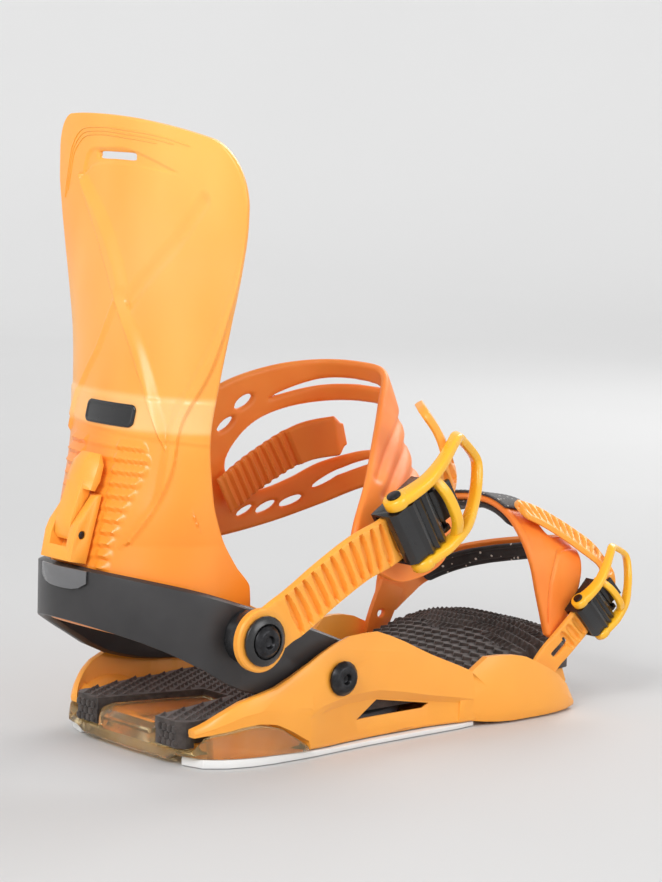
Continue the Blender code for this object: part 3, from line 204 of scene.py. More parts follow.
def foam(name, dark, light, flecks=False):
    """Matt moulded foam with an open skin, and moulded-in pale flecks where asked."""
    made, tree, shader = new_material(name, dark, 0.82)
    set_inputs(shader, {"Sheen Weight": 0.25, "Sheen Roughness": 0.5})
    vector = coordinates(tree)
    mottled = ramp(tree, noise(tree, vector, FOAM_GRAIN * 0.35, 5, 0.65), [(0.35, dark), (0.7, light)])
    if flecks:
        cells = add(tree, "TexVoronoi", {"Scale": FLECK_CELLS}, {"Vector": vector})
        near = spread(tree, cells.outputs["Distance"], 1.0, 0.0, FLECK_RADIUS, FLECK_SOFT_RADIUS)
        pick = add(tree, "SeparateColor", feeds={"Color": cells.outputs["Color"]}).outputs["Red"]
        sparse = add(tree, "Math", {1: FLECKS_LEFT_OUT}, {0: pick}, operation="GREATER_THAN")
        both = add(tree, "Math", (), {0: near, 1: sparse.outputs["Value"]}, operation="MULTIPLY")
        feeds = {"Factor": both.outputs["Value"], "A": mottled}
        mottled = add(tree, "Mix", {"B": FLECK_COLOUR}, feeds, data_type="RGBA").outputs["Result"]
    tree.links.new(mottled, shader.inputs["Base Color"])
    bump(tree, shader, noise(tree, vector, FOAM_GRAIN * 3, 5, 0.7), 0.35, 0.0003)
    return made


def metal(name, colour, rough):
    """Blackened steel with fine turning marks and worn high spots."""
    made, tree, shader = new_material(name, colour, rough, metal=0.9)
    vector = coordinates(tree)
    worn = ramp(tree, noise(tree, vector, 300, 5, 0.6), [(0.4, colour), (0.8, shade(colour, 2.4))])
    tree.links.new(worn, shader.inputs["Base Color"])
    streaks = noise(tree, coordinates(tree, (1, 14, 1)), 500, 3)
    tree.links.new(spread(tree, streaks, rough - 0.08, rough + 0.15), shader.inputs["Roughness"])
    bump(tree, shader, streaks, 0.06, 0.0001)
    return made


def clear_amber():
    """Clear cushion plastic, with a tint that varies at random."""
    made, tree, shader = new_material("clear_amber", (0.98, 0.78, 0.42), 0.12, transmission=0.92)
    shader.inputs["IOR"].default_value = 1.4
    vector = coordinates(tree)
    tint = noise(tree, vector, 90, 3)
    tone = ramp(tree, tint, [(0.3, (0.96, 0.7, 0.3)), (0.75, (1.0, 0.88, 0.62))])
    tree.links.new(tone, shader.inputs["Base Color"])
    tree.links.new(spread(tree, tint, 0.08, 0.22), shader.inputs["Roughness"])
    bump(tree, shader, noise(tree, vector, 240, 3), 0.12, 0.0004)
    return made


def hoop_material():
    """Cast metal under a satin dark finish with a fine sparkle."""
    made, tree, shader = new_material("hoop_satin", (0.036, 0.035, 0.035), 0.4, metal=0.1, coat=0.1)
    vector = coordinates(tree)
    tone = ramp(
        tree,
        noise(tree, vector, 60, 3, 0.5),
        [(0.3, (0.03, 0.029, 0.03)), (0.75, (0.042, 0.04, 0.041))],
    )
    tree.links.new(tone, shader.inputs["Base Color"])
    tree.links.new(spread(tree, noise(tree, vector, 90, 4), 0.33, 0.5), shader.inputs["Roughness"])
    bump(tree, shader, noise(tree, vector, 2400, 2), 0.05, 0.0002)
    return made


LOOKS = {
    "base_orange": plastic("base_plastic", (1.0, 0.4, 0.05), 0.38, coat=0.15, glow=0.06),
    "highback_orange": highback_material(),
    "strap_orange": plastic(
        "strap_rubber", (1.0, 0.3, 0.045), 0.45, glow=0.12, deep=(0.95, 0.23, 0.03)
    ),
    "ladder_orange": plastic("ladder_plastic", (1.0, 0.4, 0.05), 0.38, coat=0.12, glow=0.1),
    "lever_gold": plastic("lever_plastic", (0.98, 0.5, 0.02), 0.25, coat=0.4, glow=0.05, grain=0.06),
    "black_plastic": plastic("black_gloss", (0.014, 0.014, 0.015), 0.24, coat=0.3, grain=0.05),
    "charcoal_hoop": hoop_material(),
    "badge_grey": plastic("badge_enamel", (0.13, 0.13, 0.135), 0.2, coat=0.5),
    "black_steel": metal("black_steel", (0.03, 0.03, 0.032), 0.3),
    "white_gasket": plastic("gasket_foam", (0.8, 0.8, 0.79), 0.6, grain=0.3),
    "amber_clear": clear_amber(),
    "footbed_eva": foam("footbed_foam", (0.02, 0.015, 0.013), (0.075, 0.06, 0.054)),
    "liner_eva": foam("liner_foam", (0.012, 0.012, 0.013), (0.03, 0.03, 0.032), flecks=True),
    "disc_grey": plastic("disc_nylon", (0.1, 0.1, 0.11), 0.5, grain=0.3),
}
SLOT_OF = {row["node"]: row["material_slot"] for row in frame["record"]["subparts"]}
BODY_OF = {
    node: body for body, nodes in frame["record"]["behaviour"]["bodies"].items() for node in nodes
}

# ---- building helpers


def finish_piece(obj, node, smooth=38.0, replaces=True):
    """Gives a built piece its material, body and CAD node."""
    slot = SLOT_OF[node]
    obj.data.materials.clear()
    obj.data.materials.append(LOOKS[slot])
    LINKED.link(obj)
    obj.data.shade_smooth()
    obj.data.set_sharp_from_angle(angle=math.radians(smooth))
    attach(obj, BODY_OF[node])
    if replaces:
        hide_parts(node)


def finish_bmesh(name, bm, node, smooth=38.0, replaces=True):
    """The same for a new bmesh in millimetres."""
    bmesh.ops.recalc_face_normals(bm, faces=bm.faces)
    bm.transform(Matrix.Scale(MM, 4))
    mesh = bpy.data.meshes.new(name)
    bm.to_mesh(mesh)
    bm.free()
    finish_piece(bpy.data.objects.new(name, mesh), node, smooth, replaces)


def refined(node, width):
    """The CAD node's shape with its moulded edges rounded to width mm."""
    bm = bmesh.new()
    bm.from_mesh(frame["nodes"][node].data)
    bmesh.ops.remove_doubles(bm, verts=bm.verts, dist=2e-6)
    bmesh.ops.dissolve_limit(
        bm, angle_limit=math.radians(1.5), verts=bm.verts, edges=bm.edges, delimit=set()
    )
    mesh = bpy.data.meshes.new(node + "_fine")
    bm.to_mesh(mesh)
    bm.free()
    obj = bpy.data.objects.new(node + "_fine", mesh)
    LINKED.link(obj)
    modifier = obj.modifiers.new("round", "BEVEL")
    modifier.width = width * MM
    modifier.segments = 2
    modifier.limit_method = "ANGLE"
    modifier.angle_limit = math.radians(28)
    modifier.miter_outer = "MITER_ARC"
    rounded = bpy.data.meshes.new_from_object(
        obj.evaluated_get(bpy.context.evaluated_depsgraph_get())
    )
    obj.modifiers.clear()
    obj.data = rounded
    bpy.data.meshes.remove(mesh)
    LINKED.unlink(obj)
    finish_piece(obj, node, smooth=50.0)


def along(table, x):
    """Smooth value at x of a table of (x, value) pairs, with no overshoot between them."""
    xs = np.array([p[0] for p in table], float)
    ys = np.array([p[1] for p in table], float)
    slopes = np.diff(ys) / np.diff(xs)
    product = slopes[:-1] * slopes[1:]
    total = np.where(product > 0, slopes[:-1] + slopes[1:], 1.0)
    inner = np.where(product > 0, 2 * product / total, 0.0)
    tangents = np.concatenate([slopes[:1], inner, slopes[-1:]])
    x = np.clip(np.asarray(x, float), xs[0], xs[-1])
    i = np.clip(np.searchsorted(xs, x, side="right") - 1, 0, len(xs) - 2)
    span = xs[i + 1] - xs[i]
    t = (x - xs[i]) / span
    value = ys[i] * (1 + 2 * t) * (1 - t) ** 2 + ys[i + 1] * t * t * (3 - 2 * t)
    return value + span * (tangents[i] * t * (1 - t) ** 2 - tangents[i + 1] * t * t * (1 - t))


def spline(points, count, closed=False):
    """Points spaced evenly in parameter along a Catmull-Rom curve."""
    p = np.array(points, float)
    if closed:
        p = np.vstack([p[-1:], p, p[:2]])
        segments = len(points)
    else:
        p = np.vstack([2 * p[:1] - p[1:2], p, 2 * p[-1:] - p[-2:-1]])
        segments = len(points) - 1
    where = np.arange(count) * segments / (count if closed else count - 1)
    i = np.minimum(where.astype(int), segments - 1)
    t = (where - i)[:, None]
    a, b, c, d = p[i], p[i + 1], p[i + 2], p[i + 3]
    return 0.5 * (
        2 * b + (c - a) * t + (2 * a - 5 * b + 4 * c - d) * t**2 + (3 * b - a - 3 * c + d) * t**3
    )


def evenly(points, count):
    """The same line with count points, evenly spaced along its length."""
    steps = np.linalg.norm(np.diff(points, axis=0), axis=1)
    length = np.concatenate([[0], np.cumsum(steps)])
    goal = np.linspace(0, length[-1], count)
    return np.stack([np.interp(goal, length, points[:, k]) for k in range(points.shape[1])], 1)


def line_distance(u, v, line):
    """Distance in the plane from each (u, v) to a broken line."""
    best = np.full(np.shape(u), 1e9)
    for (ax, ay), (bx, by) in zip(line[:-1], line[1:]):
        dx, dy = bx - ax, by - ay
        t = np.clip(((u - ax) * dx + (v - ay) * dy) / (dx * dx + dy * dy + 1e-12), 0, 1)
        best = np.minimum(best, np.hypot(u - ax - t * dx, v - ay - t * dy))
    return best


def blob(u, v, outline, smooth=True):
    """Signed distance to a rounded outline, above zero inside it."""
    line = spline(outline, 12 * len(outline), closed=True) if smooth else np.array(outline, float)
    line = np.vstack([line, line[:1]])
    inside = np.zeros(np.shape(u), bool)
    for (ax, ay), (bx, by) in zip(line[:-1], line[1:]):
        if ay == by:
            continue
        crosses = ((ay > v) != (by > v)) & (u < (bx - ax) * (v - ay) / (by - ay) + ax)
        inside ^= crosses
    distance = line_distance(u, v, line)
    return np.where(inside, distance, -distance)


def rise(distance, width):
    """A smooth step from 0 at the line to 1 at the given distance inside it."""
    t = np.clip(distance / width, 0, 1)
    return t * t * (3 - 2 * t)


def unit(vectors):
    return vectors / np.maximum(np.linalg.norm(vectors, axis=-1, keepdims=True), 1e-9)


def lattice(down, across):
    return np.meshgrid(down, across, indexing="ij")


def grid_normals(p):
    """Outward normals of a grid of points."""
    du = np.gradient(p, axis=0)
    dv = np.gradient(p, axis=1)
    return unit(np.cross(du, dv))


def surface_lengths(p):
    """Distances in mm from the first row and first column, and the border distance."""
    step_i = np.linalg.norm(np.diff(p, axis=0), axis=-1)
    step_j = np.linalg.norm(np.diff(p, axis=1), axis=-1)
    u = np.vstack([np.zeros((1, p.shape[1])), np.cumsum(step_i, axis=0)])
    v = np.hstack([np.zeros((p.shape[0], 1)), np.cumsum(step_j, axis=1)])
    border = np.minimum(np.minimum(u, u[-1:] - u), np.minimum(v, v[:, -1:] - v))
    return u, v, border


def rounded(u, v, border, radius):
    """The border distance of a sheet with rounded corners."""
    past = [np.maximum(0, np.abs(x - m) - m + radius) for x, m in ((u, u[-1:] / 2), (v, v[:, -1:] / 2))]
    return np.minimum(border, radius - np.hypot(*past))


def shell(p, field, low, high, round_to, normals=None):
    """A moulded sheet: the part of a grid where field is above zero, with rounded edges."""
    n = grid_normals(p) if normals is None else normals
    low = np.broadcast_to(low, field.shape)
    high = np.broadcast_to(high, field.shape)
    bm = bmesh.new()
    made = {}

    def corner(i, j):
        key = (i, j)
        if key not in made:
            made[key] = pair(p[i, j], n[i, j], low[i, j], high[i, j], max(0.0, field[i, j]))
        return made[key]

    def pair(at, out, lo, hi, inside):
        t = min(1.0, inside / round_to)
        share = RIM_SHARE + (1 - RIM_SHARE) * math.sqrt(max(0.0, 1 - (1 - t) ** 2))
        mid, half = (lo + hi) / 2, (hi - lo) / 2 * share
        return bm.verts.new(at + out * (mid + half)), bm.verts.new(at + out * (mid - half))

    def crossing(a, b):
        key = (min(a, b), max(a, b))
        if key not in made:
            (i, j), (k, m) = key
            t = field[i, j] / (field[i, j] - field[k, m])
            t = min(0.97, max(0.03, t))
            mix = [x[i, j] * (1 - t) + x[k, m] * t for x in (p, n, low, high)]
            made[key] = pair(*mix, 0.0)
        return made[key]

    rows, columns = field.shape
    inside = field > -1e-6
    edges = {}
    for i in range(rows - 1):
        for j in range(columns - 1):
            cell = [(i, j), (i + 1, j), (i + 1, j + 1), (i, j + 1)]
            flags = [inside[c] for c in cell]
            if not any(flags):
                continue
            ring = []
            for k in range(4):
                if flags[k]:
                    ring.append(corner(*cell[k]))
                if flags[k] != flags[(k + 1) % 4]:
                    ring.append(crossing(cell[k], cell[(k + 1) % 4]))
            if len(ring) < 3:
                continue
            bm.faces.new([r[0] for r in ring])
            bm.faces.new([r[1] for r in reversed(ring)])
            for k, a in enumerate(ring):
                b = ring[(k + 1) % len(ring)]
                back = (id(b[0]), id(a[0]))
                if back in edges:
                    del edges[back]
                else:
                    edges[id(a[0]), id(b[0])] = (a, b)
    for a, b in edges.values():
        bm.faces.new((b[0], a[0], a[1], b[1]))
    return bm


def skin(bm, rows, looped=False, capped=False):
    """Faces between rows of points, where each row is a ring."""
    for a, b in zip(rows, rows[1:] + rows[: int(looped)]):
        for k in range(len(a)):
            m = (k + 1) % len(a)
            bm.faces.new((a[k], a[m], b[m], b[k]))
    if capped:
        bm.faces.new(rows[0])
        bm.faces.new(reversed(rows[-1]))


def turned(profile, origin, axis, steps):
    """A ring turned from a closed profile of (radius, height)."""
    axis = Vector(axis).normalized()
    first = axis.orthogonal().normalized()
    second = axis.cross(first)
    bm = bmesh.new()
    rows = []
    for s in range(steps):
        angle = 2 * math.pi * s / steps
        out = first * math.cos(angle) + second * math.sin(angle)
        rows.append([bm.verts.new(Vector(origin) + out * r + axis * h) for r, h in profile])
    skin(bm, rows, looped=True)
    return bm


def swept(line, sections):
    """A bar along a line; sections[k] holds points (across, thick) for station k."""
    bm = bmesh.new()
    rows = []
    for (at, across, thick), section in zip(line, sections):
        rows.append([bm.verts.new(Vector(at) + across * a + thick * b) for a, b in section])
    skin(bm, rows, capped=True)
    return bm


def joined(*parts):
    whole = bmesh.new()
    for part in parts:
        mesh = bpy.data.meshes.new("merge")
        part.to_mesh(mesh)
        part.free()
        whole.from_mesh(mesh)
        bpy.data.meshes.remove(mesh)
    return whole


def super_section(half, deep, power=4.0, count=20):
    """A rounded-box section."""

    def bent(value):
        return math.copysign(abs(value) ** (2 / power), value)

    turns = [2 * math.pi * k / count for k in range(count)]
    return [(half * bent(math.cos(t)), deep * bent(math.sin(t))) for t in turns]


def wire(points, radius):
    """A fine raised line laid along a surface."""
    pts = [Vector(p) for p in points]
    bm = bmesh.new()
    rows = []
    for k, p in enumerate(pts):
        ahead = (pts[min(k + 1, len(pts) - 1)] - pts[max(k - 1, 0)]).normalized()
        a = ahead.orthogonal().normalized()
        b = ahead.cross(a)
        wide = radius * (0.35 if k in (0, len(pts) - 1) else 1.0)
        turns = [math.pi * m / 4 for m in range(8)]
        ring = [bm.verts.new(p + (a * math.cos(t) + b * math.sin(t)) * wide) for t in turns]
        if rows:
            shift = min(range(8), key=lambda s: (ring[s].co - rows[-1][0].co).length)
            ring = ring[shift:] + ring[:shift]
        rows.append(ring)
    skin(bm, rows, capped=True)
    return bm


# ---- highback

PIVOT = Vector((-80.0, 0, 59.3))
THICK = 3.6
BOLT_HOLE = 3.4
SPINE_X = (
    (45, -136.2), (84, -136.2), (96, -133.9), (165, -115.1), (210, -108.6), (262, -105),
    (292, -104),
)
NEAR_EDGE_X = (
    (45, -70), (79, -71.5), (90, -80), (104, -88.7), (120, -93.6), (147, -96), (174, -95.4),
    (200, -94), (230, -92.6), (292, -92.6),
)
FAR_EDGE_X = (
    (45, -70), (79, -71.5), (90, -80), (104, -88.7), (120, -93.6), (147, -97), (163, -98),
    (292, -98.4),
)
NEAR_WIDTH = (
    (45, 47.4), (75, 48.3), (104, 48.3), (147, 47), (174, 51.5), (200, 56.5), (222, 61), (245, 64),
    (292, 64.5),
)
FAR_WIDTH = (
    (45, 47.4), (75, 48.3), (104, 48.3), (132, 50), (163, 52.6), (189, 54.4), (207, 57.4),
    (229, 61.8), (246, 65), (262, 67), (292, 67),
)
WRAP_DEG = ((45, 90), (104, 90), (135, 75), (170, 64), (292, 55))


def back_points(s, z):
    """Points of the highback's outer face: s runs from -1 at the near edge to 1 at the far one."""
    spine = along(SPINE_X, z)
    near = s < 0
    depth = np.where(near, along(NEAR_EDGE_X, z), along(FAR_EDGE_X, z)) - spine
    straight = np.maximum(0.0, depth - 46.0)
    wrap = np.radians(along(WRAP_DEG, z))
    a = (depth - straight) / (1 - np.cos(wrap))
    b = np.where(near, along(NEAR_WIDTH, z), along(FAR_WIDTH, z)) / np.sin(wrap)
    arc = wrap * (a + b) / 2
    run = np.abs(s) * (arc + straight)
    angle = wrap * np.minimum(1.0, run / arc)
    beyond = np.maximum(0.0, run - arc)
    x = spine + a * (1 - np.cos(angle)) + beyond
    return np.stack([x, np.sign(s) * b * np.sin(angle), z], -1)


def back_normals(s, z):
    s = np.clip(s, -0.99, 0.99)
    sideways = back_points(s + 0.01, z) - back_points(s - 0.01, z)
    upwards = back_points(s, z + 1) - back_points(s, z - 1)
    return unit(np.cross(upwards, sideways))


def back_grid(rows, columns):
    i, s = lattice(np.linspace(0, 1, rows), np.linspace(-1, 1, columns))
    v = 1 - (1 - i) ** 1.2

    def heights(s):
        low = 62 - 9.5 * np.minimum(1.0, np.abs(s) / 0.62) ** 2
        top = 289.5 - 0.0022 * (s * 56 - 30) ** 2
        return low + (top - low) * v, (top - low) * (1 - v)

    radius = np.where(s < 0, 24.0, 16.0)
    inside = np.maximum(0.0, 1 - heights(s)[1] / radius)
    s = s * (1 - radius / 64 * (1 - np.sqrt(np.maximum(0.0, 1 - inside**2))))
    return s, heights(s)[0]


ARC = 78.0
RIDGE_LEFT = [
    (0.6, 261), (0.33, 232), (0.11, 206), (-0.1, 187), (-0.49, 151), (-0.72, 128), (-0.84, 104),
]
RIDGE_RIGHT = [
    (-0.8, 118), (-0.68, 140), (-0.55, 158), (-0.31, 184), (-0.18, 195), (-0.01, 206), (0.0, 217),
    (0.25, 245), (0.5, 263),
]
CROSS_LEFT = [
    (-0.99, 239), (-0.9, 215), (-0.79, 190), (-0.6, 160), (-0.52, 125), (-0.41, 113), (-0.27, 97),
]
CROSS_RIGHT = [(-0.4, 102), (-0.57, 119), (-0.68, 134), (-0.74, 156), (-0.92, 181), (-1.02, 215)]
BRANCH = [(0.1, 207), (0.27, 183), (0.49, 164), (0.62, 146)]
CREASE = [(-0.02, 205), (-0.15, 216), (-0.39, 233), (-0.6, 252)]
SLOT = [
    (3, 268.9), (16, 269.1), (29, 269.2), (30.2, 270.6), (29, 272.2), (16, 272.3), (3.4, 272.0),
    (1.4, 270.3),
]
SLOT_RECESS = [
    (0.5, 272), (0.3, 274.5), (0.0, 273.2), (-0.4, 263.5), (0.05, 266.2), (0.42, 265.6),
    (0.56, 258),
]
RIB_END = ((72, 0.2), (84, 0.24), (100, 0.29), (115, 0.35), (125, 0.42), (136, 0.49), (146, 0.42))
FINE_LINE = [
    (0.86, 250), (0.79, 262), (0.73, 274), (0.6, 281.6), (0.4, 283.2), (0.19, 282.6), (-0.2, 280),
    (-0.53, 275.2),
]


def flat(line):
    return [(s * ARC, z) for s, z in line]


def facet(u, z, left, right, left_soft, right_soft):
    """A raised facet between two lines, each with its own softness."""
    a, b = spline(flat(left), 90), spline(flat(right), 90)
    inside = blob(u, z, np.vstack([a, b]), smooth=False) > 0
    lift = rise(line_distance(u, z, a), left_soft) * rise(line_distance(u, z, b), right_soft)
    return np.where(inside, lift, 0)


def back_relief(s, z):
    """Height of the moulded relief on the highback's outer face."""
    u = s * ARC
    height = np.zeros_like(u)
    ridge = facet(u, z, RIDGE_LEFT, RIDGE_RIGHT, 1.4, 7.5)
    cross = facet(u, z, CROSS_LEFT, CROSS_RIGHT, 7.0, 1.6)
    height += 2.4 * ridge
    ends = rise(z - 100, 20) * rise(262 - z, 20)
    for line, soft, sign in ((RIDGE_LEFT[::-1], 6.5, 1), (CROSS_RIGHT, 6.0, -1)):
        line_s, line_z = zip(*line)
        beside = sign * (s - np.interp(z, line_z, line_s)) > 0
        side_face = np.exp(-((line_distance(u, z, spline(flat(line), 90)) / soft) ** 2))
        height -= 1.7 * side_face * beside * ends
    height = np.maximum(height, 2.0 * cross)
    height = np.maximum(height, 1.6 * rise(3.0 - line_distance(u, z, flat(BRANCH)), 3.0))
    height -= 1.5 * rise(6.0 - line_distance(u, z, flat(CREASE)), 6.0) * (ridge < 0.02)
    height -= 0.8 * rise(blob(u, z, flat(SLOT_RECESS)), 1.6)
    band = rise(z - (148 + 4 * s), 1.6) * rise(165 - z, 1.6)
    height += 0.6 * band
    # Adjustment track: cross ribs on both sides of the sliding block
    in_track = (np.abs(s) < along(RIB_END, z)) & (z > 72) & (z < 146)
    phase = ((146 - z) / 5.3) % 1.0
    wave = np.where(phase < 0.68, phase / 0.68, (1 - phase) / 0.32)
    fade = np.clip((along(RIB_END, z) - np.abs(s)) * ARC / 3.0, 0, 1)
    under = np.clip((np.abs(s) * ARC - 12.0) / 2.5, 0.4, 1)
    height += np.where(in_track, 1.9 * wave * fade * under, 0)
    return height


def build_highback():
    s, z = back_grid(331, 201)
    p, n = back_points(s, z), back_normals(s, z)
    _, _, border = surface_lengths(p)
    hole = np.hypot(p[..., 0] - PIVOT.x, p[..., 2] - PIVOT.z) - BOLT_HOLE
    field = np.minimum(border, np.where(np.abs(p[..., 1]) > 30, hole, 99))
    slot = blob(p[..., 1], z, SLOT)
    field = np.minimum(field, np.where(p[..., 0] < -95, -slot, 99))
    bm = shell(p, field, -THICK, back_relief(s, z), 1.6, n)
    lugs = []
    for side in (-1, 1):
        inner = 54.0 - 5.0 - 0.7 - THICK
        ring = [(BOLT_HOLE, 0), (12.2, 0), (13, 0.8), (13, 2.9), (12.4, 3.5), (3.9, 3.5)]
        ring += [(BOLT_HOLE, 3.0)]
        lugs.append(turned(ring, (PIVOT.x, side * inner, PIVOT.z), SIDE * side, 72))
    lines = []
    for k in range(3):
        line = spline(FINE_LINE, 150)
        ss = line[:, 0] - 0.02 * k * rise(line[:, 0] - 0.2, 0.5)
        zz = line[:, 1] - 1.7 * k * rise(0.95 - line[:, 0], 0.3)
        at = back_points(ss, zz) + back_normals(ss, zz) * 0.08
        lines.append(wire(at[4 * k : 146 - 9 * k], 0.3))
    finish_bmesh("highback_moulding", joined(bm, *lugs, *lines), "highback_shell")


def patch(s_range, z_range, rows, columns):
    """A grid over part of the highback."""
    z, s = lattice(np.linspace(*z_range, rows), np.linspace(*s_range, columns))
    return s, z


def build_highback_trim():
    s, z = patch((-0.29, 0.26), (150.9, 161.0), 22, 80)
    p, n = back_points(s, z), back_normals(s, z)
    field = rounded(*surface_lengths(p), 3.0)
    inset = rise(field - 1.2, 0.6) * 0.35
    finish_bmesh("highback_badge_plate", shell(p, field, 0.5, 1.6 - inset, 0.6, n), "highback_badge")

    s, z = patch((-0.8, 0.8), (122, 258), 110, 96)
    p, n = back_points(s, z), back_normals(s, z)
    field = rounded(*surface_lengths(p), 12.0)
    inner = -THICK - 1.2
    channels = np.minimum(np.abs((z - 190 + 0.12 * np.abs(p[..., 1])) % 17 - 8.5), 6.0)
    puff = 0.9 * (1 - np.clip(channels / 2.2, 0, 1)) + 1.4 * (1 - rise(field, 7.0))
    bm = shell(p, field, inner - 4.0 + puff, inner, 2.2, n)
    finish_bmesh("highback_pad", bm, "highback_liner")


# ---- straps

PAD_TOP = (
    (-50, 60.5, 116), (-28, 58.5, 146), (-6, 55.5, 159.5), (22, 52.5, 167), (42, 40, 170.5),
    (50, 18, 171), (48, -2, 168.5), (33, -17, 156), (14, -33, 138), (-5, -49, 122),
    (-19, -58.5, 108), (-23, -61, 98), (-21, -61.8, 91.5),
)
PAD_BOTTOM = (
    (-54, 61.5, 84), (-30, 61.5, 80.5), (-4, 60, 82), (28, 56, 87.5), (50, 42, 97), (60, 22, 107),
    (61, -2, 112), (52, -22, 110), (49.5, -40, 106), (49, -54, 99), (34, -61.8, 83),
    (9, -62.6, 76.5), (-9, -62.6, 82.5),
)
PAD_LONG, PAD_WIDE = 269.0, 66.0
# Openings of the pad: (share along it, share down it)
PAD_OPENINGS = (
    (
        (0.246, 0.2), (0.33, 0.135), (0.4, 0.135), (0.47, 0.165), (0.5, 0.2), (0.47, 0.2),
        (0.4, 0.185), (0.33, 0.18),
    ),
    (
        (0.176, 0.56), (0.186, 0.44), (0.22, 0.33), (0.27, 0.29), (0.34, 0.29), (0.42, 0.315),
        (0.49, 0.35), (0.54, 0.42), (0.55, 0.55), (0.52, 0.66), (0.46, 0.71), (0.4, 0.705),
        (0.33, 0.71), (0.28, 0.755), (0.235, 0.77), (0.196, 0.7),
    ),
)
# Pointed holes: both ends, and the half width in mm
PAD_LENSES = (
    ((0.189, 0.19), (0.219, 0.155), 2.3),
    ((0.159, 0.295), (0.188, 0.255), 2.0),
    ((0.197, 0.892), (0.222, 0.858), 1.4),
    ((0.226, 0.904), (0.257, 0.876), 1.7),
    ((0.263, 0.908), (0.299, 0.9), 1.7),
    ((0.316, 0.862), (0.375, 0.806), 1.5),
    ((0.34, 0.828), (0.45, 0.795), 1.5),
)
FLUTES = (
    ((0.5, 0.42), (0.57, 0.3), (0.66, 0.16), (0.73, 0.1)),
    ((0.5, 0.66), (0.58, 0.48), (0.68, 0.3), (0.76, 0.2)),
    ((0.51, 0.9), (0.6, 0.66), (0.7, 0.44), (0.79, 0.3)),
    ((0.55, 0.98), (0.64, 0.78), (0.72, 0.58), (0.79, 0.46)),
)
PAD_DISH = (
    (0.63, 0.9), (0.68, 0.76), (0.75, 0.64), (0.82, 0.56), (0.84, 0.66), (0.78, 0.82), (0.7, 0.93),
)


def build_ankle_pad():
    rows, columns = 321, 81
    top, bottom = spline(PAD_TOP, rows), spline(PAD_BOTTOM, rows)
    w = np.linspace(0, 1, columns)
    middle = (top + bottom) / 2
    outward = unit(middle * (1, 1, 0) - (-35, 0, 0))
    k = np.arange(rows)
    swell = 4.0 * np.clip(4 * (np.minimum(k, rows - 1 - k) / (rows - 1) - 0.16), 0, 1)
    p = top[:, None] * (1 - w)[None, :, None] + bottom[:, None] * w[None, :, None]
    p = p + (outward[:, None] * (swell[:, None] * np.sin(math.pi * w))[..., None])
    u, v = lattice(k / (rows - 1) * PAD_LONG, w * PAD_WIDE)
    _, _, field = surface_lengths(p)
    for outline in PAD_OPENINGS:
        hole = blob(u, v, [(a * PAD_LONG, b * PAD_WIDE) for a, b in outline])
        field = np.minimum(field, -hole)
    for (ta, wa), (tb, wb), half in PAD_LENSES:
        a = np.array((ta * PAD_LONG, wa * PAD_WIDE))
        d = np.array((tb * PAD_LONG, wb * PAD_WIDE)) - a
        x = ((u - a[0]) * d[0] + (v - a[1]) * d[1]) / (d @ d)
        off = np.abs((u - a[0]) * d[1] - (v - a[1]) * d[0]) / math.hypot(*d)
        bulge = half * np.sqrt(np.maximum(0.0, 1 - (2 * np.clip(x, 0, 1) - 1) ** 2))
        outside = np.maximum(0, np.abs(x - 0.5) - 0.5) * math.hypot(*d)
        clear = np.hypot(np.maximum(off - bulge, 0), outside) - np.maximum(bulge - off, 0)
        field = np.minimum(field, clear)
    high = np.full(field.shape, 2.0)
    for line in FLUTES:
        fine = spline([(a * PAD_LONG, b * PAD_WIDE) for a, b in line], 24)
        d = line_distance(u, v, fine)
        high -= 1.5 * np.exp(-((d / 2.6) ** 2))
    dish = blob(u, v, [(a * PAD_LONG, b * PAD_WIDE) for a, b in PAD_DISH])
    high -= 1.1 * rise(dish, 3.5)
    high += 0.5 * rise(-dish, 1.0) * rise(3.0 + dish, 2.0)
    finish_bmesh("ankle_pad_moulding", shell(p, field, -2.0, high, 2.4), "ankle_pad")


def strap_grid(points, widths, width, rows, columns, narrow=1.0):
    """A flat strap as a grid: centre line, width direction and outward normal per row."""
    centre = evenly(spline(points, 24 * len(points)), rows)
    across = spline(widths, rows)
    ahead = unit(np.gradient(centre, axis=0))
    across = unit(across - ahead * np.sum(across * ahead, axis=1, keepdims=True))
    out = np.cross(across, ahead)
    half = np.full(rows, width / 2) * narrow
    a = np.linspace(-1, 1, columns)
    p = centre[:, None] + across[:, None] * (half[:, None] * a)[..., None]
    n = np.repeat(out[:, None], columns, axis=1)
    length = np.linalg.norm(np.diff(centre, axis=0), axis=1)
    u = np.concatenate([[0], np.cumsum(length)])[:, None] * np.ones((1, columns))
    v = half[:, None] * a
    return p, n, u, v, half[:, None] * np.ones((1, columns))


def lens_grooves(u, v, half, start, end, pitch, edge=2.6):
    """Depth share of a row of grooves that narrow to a point before the strap's edges."""
    reach = np.clip(1 - (v / (half - edge)) ** 2, 0, 1)
    phase = np.abs(((u - start) / pitch) % 1.0 - 0.5) * pitch
    wide = 0.3 + 1.75 * np.sqrt(reach)
    groove = np.clip(1 - phase / wide, 0, 1)
    groove = np.clip(groove * 1.9, 0, 1) * np.clip(reach * 5, 0, 1)
    ends = np.clip((u - start) / 1.0, 0, 1) * np.clip((end - u) / 1.0, 0, 1)
    return groove * ends


